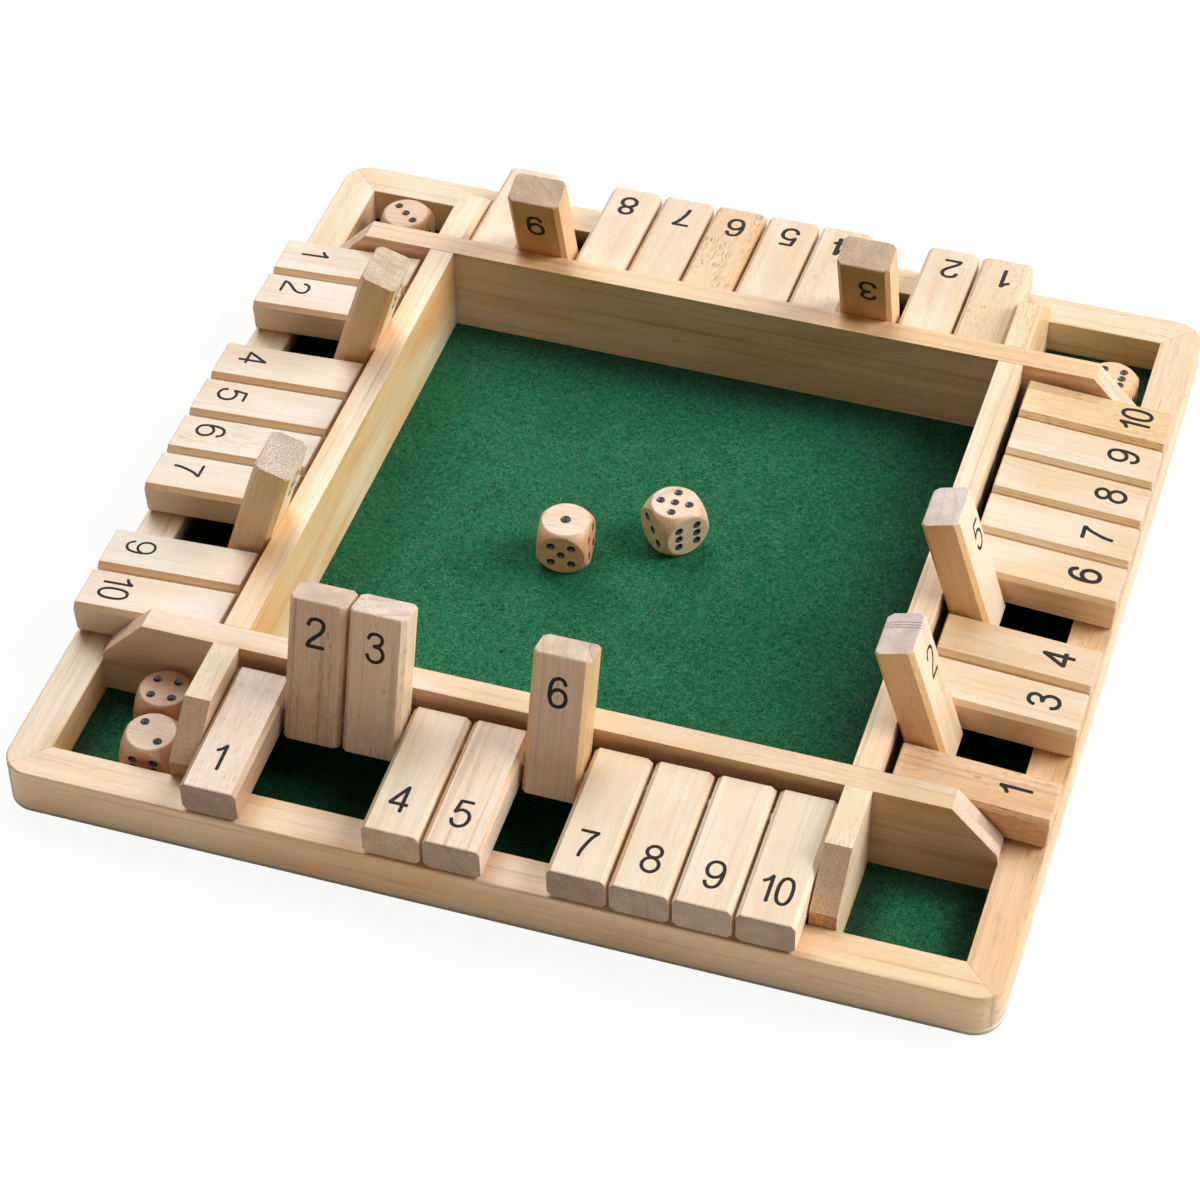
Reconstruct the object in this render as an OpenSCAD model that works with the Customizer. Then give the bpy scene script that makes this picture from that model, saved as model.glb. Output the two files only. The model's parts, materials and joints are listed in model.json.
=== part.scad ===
// Four-player shut the box game: a square tray with a row of ten hinged number tiles on each side.
// Origin: centre of the underside. X runs along the front edge, Y to the back, Z up. Millimetres.

/* [Tiles] */
// Width of one number tile
tile_w = 17.3; // [14:0.1:24]
// Thickness of a tile
tile_t = 11.8; // [9:0.1:14]
// Length of a tile
tile_l = 47; // [45:0.1:60]
// Width that the chamfer on each long edge of a tile takes off both faces beside it
tile_chamfer = 1.4; // [0.5:0.1:4]
// Gap between neighbouring tiles
tile_gap = 1.1; // [0.6:0.1:3]
// Gap between the last tile of a row and the wood beside it
row_end_gap = 0.6; // [0.4:0.1:3]
// Fall of a lowered tile towards its outer end, in degrees
tile_slope = 3.4; // [0:0.1:8]
// Clearance between the turning inner end of a tile and the wall behind it
tile_swing_gap = 0.35; // [0.3:0.05:2]
// Gap left where a tile rests on a rail or leans on a wall, and where a die stands on the felt
rest_gap = 0.05; // [0.02:0.01:0.3]
// How far the outer end of a lowered tile stays inside the frame's outer face
tile_end_inset = 0.08; // [0:0.01:3]

/* [Rods] */
// Diameter of the steel rod that a row of tiles turns on
rod_d = 3.5; // [2:0.1:5]
// Distance from a tile's inner end to the rod's axis
rod_inset = 6.85; // [5:0.05:9]
// Radial clearance of the rod in a tile's bore
rod_fit = 0.08; // [0.03:0.01:0.1]
// Depth of the blind hole that holds each end of a rod
rod_seat = 5; // [3:0.1:6.5]
// Radial clearance of the rod in its blind holes
rod_seat_fit = 0.02; // [0.01:0.01:0.1]
// Gap between a rod's end and the bottom of its hole
rod_end_gap = 0.3; // [0.1:0.1:1]

/* [Frame] */
// Thickness of the base board
base_t = 2.4; // [1.5:0.1:8]
// Thickness of the felt sheet
felt_t = 1.8; // [0.5:0.1:3]
// Gap between the felt's edge and the rails
felt_gap = 0.3; // [0.1:0.1:1]
// Width of a rail
rail_w = 12.6; // [10:0.1:25]
// Height of a rail above the base board
rail_h = 13.5; // [9:0.1:20]
// Radius of the frame's and the base board's corners
corner_r = 9; // [2:0.5:10]

/* [Walls] */
// Thickness of the tray's walls
wall_t = 8.05; // [7:0.05:14]
// Height of the walls above the rails
wall_rise = 18.5; // [16:0.1:26]
// Length of the slope at each end of the two long walls
end_run = 14.4; // [6:0.1:18]
// Drop of that slope
end_drop = 15.5; // [6:0.1:15.9]
// Radius below that slope
end_r = 4; // [0.5:0.1:6]
// Thickness of the dividers beside the corner boxes
divider_t = 8.05; // [7:0.05:14]
// Length of the slope at the outer end of a divider
divider_run = 14.8; // [6:0.1:18]
// Drop of that slope
divider_drop = 13.1; // [6:0.1:15.9]

/* [Dice] */
// Width of a die across its flats
die_w = 16; // [12:0.1:16.5]
// Diameter of the ball that rounds a die's edges and corners
die_ball_d = 21.7; // [18:0.1:24]
// Least gap between a die and the walls of a corner box
die_gap = 0.6; // [0.2:0.1:2]
// Gap between the two dice that share a corner box
pair_gap = 1.5; // [0.3:0.1:4]
// Diameter of a pip
pip_d = 2.7; // [1.5:0.1:3]
// Diameter of the single pip on the face of a one
one_pip_d = 3.3; // [1.5:0.1:5]
// Depth of a pip
pip_depth = 0.6; // [0.2:0.05:1]
// Distance from a face's middle to its next row of pips
pip_pitch = 3.25; // [3.1:0.05:3.6]

/* [Hidden] */
SIDES = ["front", "right", "back", "left"];
TILES = [1:10];
// Numbers of the tiles that stand raised at rest, in the order of SIDES
RAISED = [[2, 3, 6], [2, 5], [3, 9], [3, 8]];
$fn = 64;
// Overshoot of a cut beyond the face that it opens
cut = 1;

// Levels
rail_top = base_t + rail_h;
felt_top = base_t + felt_t;
wall_top = rail_top + wall_rise;

// Distances from the middle of the board outwards, across a side
tile_pitch = tile_w + tile_gap;
tray_half = (10 * tile_w + 9 * tile_gap) / 2 + row_end_gap;
wall_out = tray_half + wall_t;
rod_up = tile_t / 2;
rod_out = wall_out + tile_swing_gap + norm([rod_inset, tile_t - rod_up]);
tile_tail = tile_l - rod_inset;
tile_end = rod_out + tile_tail * cos(tile_slope) + (tile_t - rod_up) * sin(tile_slope);
board_half = tile_end + tile_end_inset;
rail_in = board_half - rail_w;

// Height of the rods, which puts a lowered tile's outer end on the rail
rod_z = rail_top + rest_gap + tile_tail * sin(tile_slope) + rod_up * cos(tile_slope);

// Angle that a raised tile leans to, past upright, until its face meets the wall's top edge
lean_across = rod_out - wall_out;
lean_up = wall_top - rod_z;
tile_lean = atan2(lean_across, lean_up)
    + acos((tile_t - rod_up + rest_gap) / norm([lean_across, lean_up]));

// Dice in the tray stand at shares of its half width. Dice in a corner box stand at shares of the
// way between its walls, measured outwards from its inner corner.
box_w = rail_in - wall_out;
box_first = die_w / 2 + die_gap;
box_way = box_w - 2 * box_first;
function in_box(side_x, side_y, share) =
    [side_x * (wall_out + box_first + share[0] * box_way),
    side_y * (wall_out + box_first + share[1] * box_way)];
// Two dice share a box: one behind the other while both fit, and otherwise corner to corner
pair_step = die_w + pair_gap;
pair_spare = box_way - pair_step;
PAIR = pair_spare > 0
    ? [[0.073, (0.28 * pair_spare + pair_step) / box_way], [0.2215, 0.28 * pair_spare / box_way]]
    : [[0, 1], [1, 0]];
DIE_PLACES = [
    tray_half * [-0.239, -0.0543],
    tray_half * [0.0891, 0.1358],
    in_box(-1, -1, PAIR[0]),
    in_box(-1, -1, PAIR[1]),
    in_box(-1, 1, [0.611, 0.76]),
    in_box(1, 1, [0.871, 0.12])];
DIE_TURNS = [6.5, 47.7, 1, 3.7, 4.4, -1];
// Numbers on each die's top, front and right faces. Opposite faces add up to 7.
DIE_FACES = [[1, 5, 4], [5, 6, 4], [2, 6, 3], [4, 2, 1], [3, 5, 1], [6, 5, 3]];
// Where each number's pips lie on its face, in steps of pip_pitch
PIPS = [
    [[0, 0]],
    [[-1, 1], [1, -1]],
    [[-1, 1], [0, 0], [1, -1]],
    [[-1, 1], [1, 1], [-1, -1], [1, -1]],
    [[-1, 1], [1, 1], [0, 0], [-1, -1], [1, -1]],
    [[-1, 1], [-1, 0], [-1, -1], [1, 1], [1, 0], [1, -1]]];

// A square with round corners, from squares and circles
module rounded_rect(w, h, r) {
    square([w, h - 2 * r], center = true);
    square([w - 2 * r, h], center = true);
    for (x = [-1, 1])
        for (y = [-1, 1])
            translate([x * (w / 2 - r), y * (h / 2 - r)])
                circle(r);
}

// A rectangle with its corners cut off at 45 degrees
module chamfered_rect(w, h, c) {
    x = w / 2;
    y = h / 2;
    polygon([
        [x, y - c],
        [x - c, y],
        [c - x, y],
        [-x, y - c],
        [-x, c - y],
        [c - x, -y],
        [x - c, -y],
        [x, c - y]]);
}

// Turns a shape that is drawn at the front to the side with this number in SIDES
module at_side(side) {
    rotate([0, 0, 90 * side])
        children();
}

// A rod-sized hole or rod along X, at the height of the front rod's axis
module rod_line(from_x, to_x, d) {
    translate([from_x, -rod_out, rod_z])
        rotate([0, 90, 0])
            cylinder(d = d, h = to_x - from_x);
}

module base_board() {
    color("tan")
        linear_extrude(base_t)
            rounded_rect(2 * board_half, 2 * board_half, corner_r);
}

module felt() {
    felt_w = 2 * (rail_in - felt_gap);
    color("seagreen")
        translate([-felt_w / 2, -felt_w / 2, base_t])
            cube([felt_w, felt_w, felt_t]);
}

// One side of the frame, with a mitre at each end
module rail(side) {
    color("burlywood")
        at_side(side)
            translate([0, 0, base_t])
                linear_extrude(rail_h)
                    intersection() {
                        difference() {
                            rounded_rect(2 * board_half, 2 * board_half, corner_r);
                            square(2 * rail_in, center = true);
                        }
                        polygon([[0, 0], [-board_half, -board_half], [board_half, -board_half]]);
                    }
}

// Outline of a long wall from its end: the slope at both ends, and a round corner below each slope
module long_wall_outline() {
    slope = atan2(end_drop, end_run);
    round_len = end_r * tan((90 - slope) / 2);
    low_z = wall_top - end_drop;
    for (x = [-1, 1])
        scale([x, 1])
            union() {
                polygon([
                    [0, felt_top],
                    [rail_in, felt_top],
                    [rail_in, low_z - round_len],
                    [rail_in - end_r, low_z - round_len],
                    [rail_in - round_len * cos(slope), low_z + round_len * sin(slope)],
                    [rail_in - end_run, wall_top],
                    [0, wall_top]]);
                translate([rail_in - end_r, low_z - round_len])
                    circle(end_r);
            }
}

// The front or back wall runs the whole width and holds the ends of the side rows' rods
module long_wall(side) {
    color("wheat")
        at_side(side)
            difference() {
                translate([0, -tray_half, 0])
                    rotate([90, 0, 0])
                        linear_extrude(wall_t)
                            long_wall_outline();
                for (turn = [-1, 1])
                    rotate([0, 0, 90 * turn])
                        mirror([turn > 0 ? 1 : 0, 0, 0])
                            rod_line(tray_half - cut, tray_half + rod_seat, rod_d + 2 * rod_seat_fit);
            }
}

// The left or right wall stands between the long walls
module short_wall(side) {
    color("wheat")
        at_side(side)
            translate([-tray_half, -wall_out, felt_top])
                cube([2 * tray_half, wall_t, wall_top - felt_top]);
}

// The divider at the right-hand end of the front row, which holds that end of the row's rod
module divider() {
    low_z = wall_top - divider_drop;
    difference() {
        translate([tray_half, 0, 0])
            rotate([90, 0, 90])
                linear_extrude(divider_t)
                    polygon([
                        [-wall_out, felt_top],
                        [-rail_in, felt_top],
                        [-rail_in, low_z],
                        [-rail_in + divider_run, wall_top],
                        [-wall_out, wall_top]]);
        rod_line(tray_half - cut, tray_half + rod_seat, rod_d + 2 * rod_seat_fit);
    }
}

module dividers() {
    color("wheat")
        for (side = [0, 2])
            at_side(side)
                for (flip = [0, 1])
                    mirror([flip, 0, 0])
                        divider();
}

module pivot_rods() {
    rod_half = tray_half + rod_seat - rod_end_gap;
    color("silver")
        for (side = [0:3])
            at_side(side)
                rod_line(-rod_half, rod_half, rod_d);
}

// A tile with its bore's axis on the origin, its length along Y and its outer end at -Y
module tile_block() {
    difference() {
        translate([0, rod_inset, tile_t / 2 - rod_up])
            rotate([90, 0, 0])
                linear_extrude(tile_l)
                    chamfered_rect(tile_w, tile_t, tile_chamfer);
        translate([-tile_w / 2 - cut, 0, 0])
            rotate([0, 90, 0])
                cylinder(d = rod_d + 2 * rod_fit, h = tile_w + 2 * cut);
    }
}

module tile(side, n) {
    raised = len(search(n, RAISED[side])) > 0;
    color("navajowhite")
        at_side(side)
            translate([(n - 5.5) * tile_pitch, -rod_out, rod_z])
                rotate([raised ? -tile_lean : tile_slope, 0, 0])
                    tile_block();
}

// The cups of one number's pips, on the top face of a die that is centred on the origin
module pip_cups(number) {
    cup_r = (number == 1 ? one_pip_d : pip_d) / 2;
    ball_r = (cup_r * cup_r + pip_depth * pip_depth) / (2 * pip_depth);
    for (pip = PIPS[number - 1])
        translate([pip[0] * pip_pitch, pip[1] * pip_pitch, die_w / 2 + ball_r - pip_depth])
            sphere(ball_r);
}

module die(i) {
    faces = DIE_FACES[i - 1];
    color("bisque")
        translate([DIE_PLACES[i - 1][0], DIE_PLACES[i - 1][1], felt_top + rest_gap + die_w / 2])
            rotate([0, 0, DIE_TURNS[i - 1]])
                difference() {
                    intersection() {
                        cube(die_w, center = true);
                        sphere(d = die_ball_d);
                    }
                    pip_cups(faces[0]);
                    rotate([90, 0, 0])
                        pip_cups(faces[1]);
                    rotate([0, 0, 90])
                        rotate([90, 0, 0])
                            pip_cups(faces[2]);
                    rotate([0, 0, 180])
                        rotate([90, 0, 0])
                            pip_cups(7 - faces[1]);
                    rotate([0, 0, 270])
                        rotate([90, 0, 0])
                            pip_cups(7 - faces[2]);
                    rotate([180, 0, 0])
                        pip_cups(7 - faces[0]);
                }
}

base_board();
felt();
pivot_rods();
dividers();
for (side = [0:3])
    rail(side);
for (side = [0, 2])
    long_wall(side);
for (side = [1, 3])
    short_wall(side);
for (side = [0:3])
    for (n = TILES)
        tile(side, n);
for (i = [1:6])
    die(i);
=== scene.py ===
"""The finish of a four-player shut the box game: pine frame, walls and tiles, printed numbers, beech
dice, drawn steel rods and green felt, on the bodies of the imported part. Lengths in the code are
millimetres in the part's frame, and skin() turns them to metres."""
import json
import math

import bpy
import numpy as np
from mathutils import Euler, Matrix, Vector


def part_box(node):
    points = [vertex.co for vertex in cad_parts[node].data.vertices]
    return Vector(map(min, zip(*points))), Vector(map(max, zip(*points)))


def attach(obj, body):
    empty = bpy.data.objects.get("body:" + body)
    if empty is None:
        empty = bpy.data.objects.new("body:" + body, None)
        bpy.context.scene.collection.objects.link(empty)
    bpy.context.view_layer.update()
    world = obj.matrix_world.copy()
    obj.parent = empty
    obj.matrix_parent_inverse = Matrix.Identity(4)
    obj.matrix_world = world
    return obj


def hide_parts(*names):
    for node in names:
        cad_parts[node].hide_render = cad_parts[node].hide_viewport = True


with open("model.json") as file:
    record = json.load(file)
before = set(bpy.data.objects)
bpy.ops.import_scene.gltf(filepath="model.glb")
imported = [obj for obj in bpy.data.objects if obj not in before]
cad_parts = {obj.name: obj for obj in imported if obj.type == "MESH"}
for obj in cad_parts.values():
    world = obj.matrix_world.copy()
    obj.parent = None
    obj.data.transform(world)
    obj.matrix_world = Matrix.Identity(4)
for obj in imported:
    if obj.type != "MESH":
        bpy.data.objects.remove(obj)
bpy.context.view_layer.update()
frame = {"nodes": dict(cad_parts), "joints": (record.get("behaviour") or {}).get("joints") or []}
NODES = frame["nodes"]
SIDES = ("front", "right", "back", "left")
QUARTER_TURN = math.pi / 2


def edge(node, end, axis):
    """Where a node ends along an axis, in millimetres: end is 0 for its low side and 1 for its high
    side, and axis is 0 to 2 for X to Z."""
    return round(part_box(node)[end][axis] * 1000, 3)


# Sizes that the frame gives
BOARD_HALF = edge("base_board", 1, 0)
BASE_TOP = edge("base_board", 1, 2)
FELT_HALF = edge("felt", 1, 0)
FELT_TOP = edge("felt", 1, 2)
RAIL_IN = edge("rail_right", 0, 0)
RAIL_TOP = edge("rail_right", 1, 2)
TRAY_HALF = edge("wall_right", 0, 0)
WALL_OUT = edge("wall_right", 1, 0)
DIE_WIDE = edge("die_1", 1, 2) - edge("die_1", 0, 2)

# Sizes and angles that the part's own source gives. TILE_TAIL is how far a tile reaches outwards
# from its rod, and the angles are those of a tile that lies on the rail and of a raised one
CORNER_RADIUS = 9.0
TILE_THICK = 11.8
TILE_TAIL = 40.15
LOWERED = math.radians(3.4)
RAISED = math.radians(-107.248)
PIP_WIDE = 2.7
ONE_PIP_WIDE = 3.3
PIP_DEEP = 0.6
PIP_PITCH = 3.25
DIE_TURNS = (6.5, 47.7, 1.0, 3.7, 4.4, -1.0)

# What the dice show: the numbers on each one's top, front and right face, and the places of the
# pips of each number in steps of the pitch
DIE_FACES = ((1, 5, 4), (5, 6, 4), (2, 6, 3), (4, 2, 1), (3, 5, 1), (6, 5, 3))
PIPS = (
    ((0, 0),),
    ((-1, 1), (1, -1)),
    ((-1, 1), (0, 0), (1, -1)),
    ((-1, 1), (1, 1), (-1, -1), (1, -1)),
    ((-1, 1), (1, 1), (0, 0), (-1, -1), (1, -1)),
    ((-1, 1), (-1, 0), (-1, -1), (1, 1), (1, 0), (1, -1)),
)


# ---------------------------------------------------------------- turning and building


def about_x(angle):
    """The matrix that turns by an angle about X."""
    c, s = math.cos(angle), math.sin(angle)
    return np.array([[1, 0, 0], [0, c, -s], [0, s, c]])


def about_z(angle):
    """The matrix that turns by an angle about Z."""
    c, s = math.cos(angle), math.sin(angle)
    return np.array([[c, -s, 0], [s, c, 0], [0, 0, 1]])


def skin(name, points, faces, material, smooth=True):
    """Makes a mesh object from points in millimetres and lists of point numbers, one list a face."""
    mesh = bpy.data.meshes.new(name)
    mesh.from_pydata((np.asarray(points, float) / 1000).tolist(), [], faces)
    mesh.polygons.foreach_set("use_smooth", np.full(len(mesh.polygons), smooth))
    mesh.materials.append(material)
    mesh.update()
    made = bpy.data.objects.new(name, mesh)
    bpy.context.scene.collection.objects.link(made)
    return made


def grid_faces(rows, columns, start=0, wrap_rows=False, wrap_columns=False):
    """Four-sided faces between neighbouring points of a grid that is stored row by row: each joins
    a point, the next in its row, and the two beside them in the next row."""
    i = np.arange(rows if wrap_rows else rows - 1)[:, None]
    j = np.arange(columns if wrap_columns else columns - 1)[None, :]
    i2, j2 = (i + 1) % rows, (j + 1) % columns
    quads = np.stack(np.broadcast_arrays(
        i * columns + j, i * columns + j2, i2 * columns + j2, i2 * columns + j), -1)
    return (quads.reshape(-1, 4) + start).tolist()


def with_heights(flat, heights):
    """Rows of flat points, with a height for each place in a row."""
    up = np.broadcast_to(heights[None, :, None], flat.shape[:2] + (1,))
    return np.concatenate([flat, up], -1)


# ---------------------------------------------------------------- what all materials use

# The inputs of a colour mix: how much of the second colour, the first colour and the second
MIX_FACTOR, MIX_A, MIX_B = 0, 6, 7

# Settings of nodes: a plain mix of two colours, a tint that multiplies, and a soft Map Range. The
# inputs 1 to 4 of a Map Range are the ends of the range that comes in and of the one that goes out,
# which runs from 0 to 1 where they aren't given
COLOURS = {"data_type": "RGBA"}
TINT = {"data_type": "RGBA", "blend_type": "MULTIPLY"}
SOFTLY = {"interpolation_type": "SMOOTHSTEP"}

MM_IN_METRE = (1000, 1000, 1000)

# A line inside the walls, which parts the tray, the tile bays and the corner boxes
WITHIN_WALLS = WALL_OUT - 4

# The shade painted on the felt of the tray, at its right, back and left: the axis it is measured on,
# the places on it where the shade is full and where it ends, and its strength
PAINTED_TRAY_SHADES = (("X", TRAY_HALF - 4, TRAY_HALF - 20, 0.9), ("Y", TRAY_HALF - 3, TRAY_HALF - 13, 0.62),
               ("X", 5 - TRAY_HALF, 35 - TRAY_HALF, 0.3))


def paint(hex_colour):
    """Turns an sRGB hex colour to the linear colour that a shader takes."""
    parts = [int(hex_colour[i:i + 2], 16) / 255 for i in (1, 3, 5)]
    return tuple(p / 12.92 if p <= 0.04045 else ((p + 0.055) / 1.055) ** 2.4 for p in parts) + (1.0,)


def add(tree, kind, sockets=None, **settings):
    """Adds a node. Settings are its own properties. Each entry of sockets fills one input: with a
    link where it is another node or a node's output, and with a value otherwise. A node stands for
    the first output that its settings leave in use."""
    node = tree.nodes.new(kind)
    for name, value in settings.items():
        setattr(node, name, value)
    for name, value in (sockets or {}).items():
        if isinstance(value, bpy.types.Node):
            value = next(output for output in value.outputs if output.enabled)
        if isinstance(value, bpy.types.NodeSocket):
            tree.links.new(value, node.inputs[name])
        else:
            node.inputs[name].default_value = value
    return node


def blank(name):
    """A new material with an empty node tree, and its tree."""
    material = bpy.data.materials.new(name)
    material.use_nodes = True
    material.node_tree.nodes.clear()
    return material, material.node_tree


def finish_material(tree, sockets):
    """Ends a tree with one Principled shader that has these sockets filled."""
    shader = add(tree, "ShaderNodeBsdfPrincipled", sockets)
    add(tree, "ShaderNodeOutputMaterial", {"Surface": shader})


def bays(tree, metres):
    """Where a point is on the board: 1 in the four tile bays and 0 in the tray and the corner
    boxes, then the larger and the smaller of its distances from the middle lines, then its place,
    in mm."""
    mm = add(tree, "ShaderNodeVectorMath", {0: metres, 1: MM_IN_METRE}, operation="MULTIPLY")
    axes = add(tree, "ShaderNodeSeparateXYZ", {"Vector": mm}).outputs
    x = add(tree, "ShaderNodeMath", {0: axes["X"]}, operation="ABSOLUTE")
    y = add(tree, "ShaderNodeMath", {0: axes["Y"]}, operation="ABSOLUTE")
    far = add(tree, "ShaderNodeMath", {0: x, 1: y}, operation="MAXIMUM")
    near = add(tree, "ShaderNodeMath", {0: x, 1: y}, operation="MINIMUM")
    outside = add(tree, "ShaderNodeMath", {0: far, 1: WITHIN_WALLS}, operation="GREATER_THAN")
    beside = add(tree, "ShaderNodeMath", {0: near, 1: WITHIN_WALLS}, operation="LESS_THAN")
    bay = add(tree, "ShaderNodeMath", {0: outside, 1: beside}, operation="MULTIPLY")
    return bay, far, near, axes


# ---------------------------------------------------------------- pine and beech

# Noise stretched along the grain: its size along, through and across in millimetres, and its detail
WOOD_NOISE = {
    "patch": ((55, 13, 13), 1.0), "streak": ((80, 1.7, 1.7), 2.0), "fibre": ((9, 0.42, 0.42), 2.0),
    "cluster": ((24, 6, 6), 0.0), "saw": ((0.8, 0.3, 0.3), 1.0), "cloud": ((9, 7, 7), 1.0)}
PORE_WIDE = 0.28

# The wave texture's scale that gives rings one millimetre wide
RING_SCALE = 0.31416

# How far along the grain each piece's patterns lie from the next one's
SEED_STEP = 173.0

# A dark brown painted on wood as shade: in the tile bays, and on the front wall in the right corner box
PAINTED_SHADE_BROWN = "#3A2A1C"


def growth_rings(tree, mm, heart, ring, marked):
    """Rings round a heart, each so many millimetres wide, with a wobble drawn out along the grain.
    A ring darkens through its summer and ends in a dark autumn line, and some years are darker than
    others. marked keeps the rings to a range of distances from the heart."""
    round_heart = add(tree, "ShaderNodeVectorMath", {
        0: mm, 1: (0.035, 1.0, 1.0), 2: (0.0, heart[0], heart[1])}, operation="MULTIPLY_ADD")
    wave = add(tree, "ShaderNodeTexWave", {
        "Vector": round_heart, "Scale": RING_SCALE / ring, "Distortion": 3.2, "Detail": 2.0,
        "Detail Scale": 0.35 * ring, "Detail Roughness": 0.55},
        wave_type="RINGS", rings_direction="X", wave_profile="SAW").outputs["Fac"]
    away = add(tree, "ShaderNodeVectorMath", {0: round_heart, 1: (0.0, 1.0, 1.0)}, operation="MULTIPLY")
    radius = add(tree, "ShaderNodeVectorMath", {0: away}, operation="LENGTH")
    if marked:
        half = (marked[1] - marked[0]) / 2
        beyond = add(tree, "ShaderNodeMath", {0: radius, 1: sum(marked) / 2}, operation="SUBTRACT")
        apart = add(tree, "ShaderNodeMath", {0: beyond}, operation="ABSOLUTE")
        dark_years = add(tree, "ShaderNodeMapRange", {
            "Value": apart, 1: half, 2: half + 0.4, 3: 1.0, 4: 0.0}, **SOFTLY)
    else:
        years = add(tree, "ShaderNodeTexNoise", {"W": radius, "Scale": 0.17, "Detail": 1.0},
                    noise_dimensions="1D")
        dark_years = add(tree, "ShaderNodeMapRange", {"Value": years, 1: 0.4, 2: 0.6, 3: 0.2}, **SOFTLY)
    summer = add(tree, "ShaderNodeMapRange", {"Value": wave, 1: 0.35, 2: 1.0, 4: 0.5})
    autumn = add(tree, "ShaderNodeMapRange", {"Value": wave, 1: 0.84, 2: 0.97, 4: 0.5}, **SOFTLY)
    each_ring = add(tree, "ShaderNodeMath", {0: summer, 1: autumn}, operation="ADD")
    return add(tree, "ShaderNodeMath", {0: each_ring, 1: dark_years}, operation="MULTIPLY")


def stretched_noise(tree, mm, pore):
    """The noises of the wood by their names: each is one noise on the place divided by its sizes."""
    seen = {}
    for part, (size, detail) in (WOOD_NOISE | {"pore": ((pore, PORE_WIDE, PORE_WIDE), 0.0)}).items():
        stretch = add(tree, "ShaderNodeVectorMath", {
            0: mm, 1: tuple(1 / s for s in size)}, operation="MULTIPLY")
        seen[part] = add(tree, "ShaderNodeTexNoise", {
            "Vector": stretch, "Scale": 1.0, "Detail": detail, "Roughness": 0.55})
    return seen


def facing(tree, normal, direction):
    """How far a face is turned to a direction or away from it, from 0 to 1."""
    share = add(tree, "ShaderNodeVectorMath", {0: normal, 1: tuple(direction)}, operation="DOT_PRODUCT")
    return add(tree, "ShaderNodeMath", {0: share}, operation="ABSOLUTE")


def tint_slopes(tree, colour, normal, width, tint):
    """Tints the slopes along a tile's long edges, which lean halfway to its width, with painted shade."""
    lean = facing(tree, normal, width)
    from_flat = add(tree, "ShaderNodeMapRange", {"Value": lean, 1: 0.5, 2: 0.65})
    to_side = add(tree, "ShaderNodeMapRange", {"Value": lean, 1: 0.78, 2: 0.9, 3: 1.0, 4: 0.0})
    sloped = add(tree, "ShaderNodeMath", {0: from_flat, 1: to_side}, operation="MULTIPLY")
    return add(tree, "ShaderNodeMix", {MIX_FACTOR: sloped, MIX_A: colour, MIX_B: paint(tint)}, **TINT)


def tint_heights(tree, colour, height, tinted_band, cap):
    """Tints a band of a wall's faces, from the height where it starts to the one where it ends, and its
    cap above that."""
    tint, low, full, top = tinted_band
    rise = add(tree, "ShaderNodeMapRange", {"Value": height, 1: low, 2: full}, **SOFTLY)
    fall = add(tree, "ShaderNodeMapRange", {"Value": height, 1: top - 0.5, 2: top, 3: 1.0, 4: 0.0})
    band = add(tree, "ShaderNodeMath", {0: rise, 1: fall}, operation="MULTIPLY")
    colour = add(tree, "ShaderNodeMix", {MIX_FACTOR: band, MIX_A: colour, MIX_B: paint(tint)}, **TINT)
    if not cap:
        return colour
    over = add(tree, "ShaderNodeMath", {0: 1.0, 1: fall}, operation="SUBTRACT")
    return add(tree, "ShaderNodeMix", {MIX_FACTOR: over, MIX_A: colour, MIX_B: paint(cap)}, **TINT)


def shade_rail(tree, colour, metres, box_light_tint):
    """Paints shade on a rail's inner face in the tile bays, most of all low down, and tints it in the
    corner boxes with a warm tint painted against the green light that the felt throws on it."""
    bay, far, _, place = bays(tree, metres)
    inner = add(tree, "ShaderNodeMapRange", {
        "Value": far, 1: RAIL_IN + 0.1, 2: RAIL_IN + 0.4, 3: 1.0, 4: 0.0})
    low = add(tree, "ShaderNodeMapRange", {"Value": place["Z"], 1: 9.0, 2: RAIL_TOP - 0.3, 3: 1.0, 4: 0.25})
    in_bay = add(tree, "ShaderNodeMath", {0: inner, 1: bay}, operation="MULTIPLY")
    shaded = add(tree, "ShaderNodeMath", {0: in_bay, 1: low}, operation="MULTIPLY")
    colour = add(tree, "ShaderNodeMix", {
        MIX_FACTOR: shaded, MIX_A: colour, MIX_B: paint(PAINTED_SHADE_BROWN)}, **COLOURS)
    if not box_light_tint:
        return colour
    elsewhere = add(tree, "ShaderNodeMath", {0: 1.0, 1: bay}, operation="SUBTRACT")
    in_box = add(tree, "ShaderNodeMath", {0: inner, 1: elsewhere}, operation="MULTIPLY")
    return add(tree, "ShaderNodeMix", {MIX_FACTOR: in_box, MIX_A: colour, MIX_B: paint(box_light_tint)}, **TINT)


def shade_wall(tree, colour, metres, painted_shade):
    """Paints shade on a wall's outer face in the tile bays, by a strength and up to a height."""
    strength, height = painted_shade
    bay, far, _, place = bays(tree, metres)
    outer = add(tree, "ShaderNodeMapRange", {"Value": far, 1: WALL_OUT - 0.25, 2: WALL_OUT - 0.1})
    under = add(tree, "ShaderNodeMapRange", {
        "Value": place["Z"], 1: height - 1, 2: height, 3: strength, 4: 0.0})
    in_bay = add(tree, "ShaderNodeMath", {0: outer, 1: bay}, operation="MULTIPLY")
    shaded = add(tree, "ShaderNodeMath", {0: in_bay, 1: under}, operation="MULTIPLY")
    return add(tree, "ShaderNodeMix", {
        MIX_FACTOR: shaded, MIX_A: colour, MIX_B: paint(PAINTED_SHADE_BROWN)}, **COLOURS)


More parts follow.
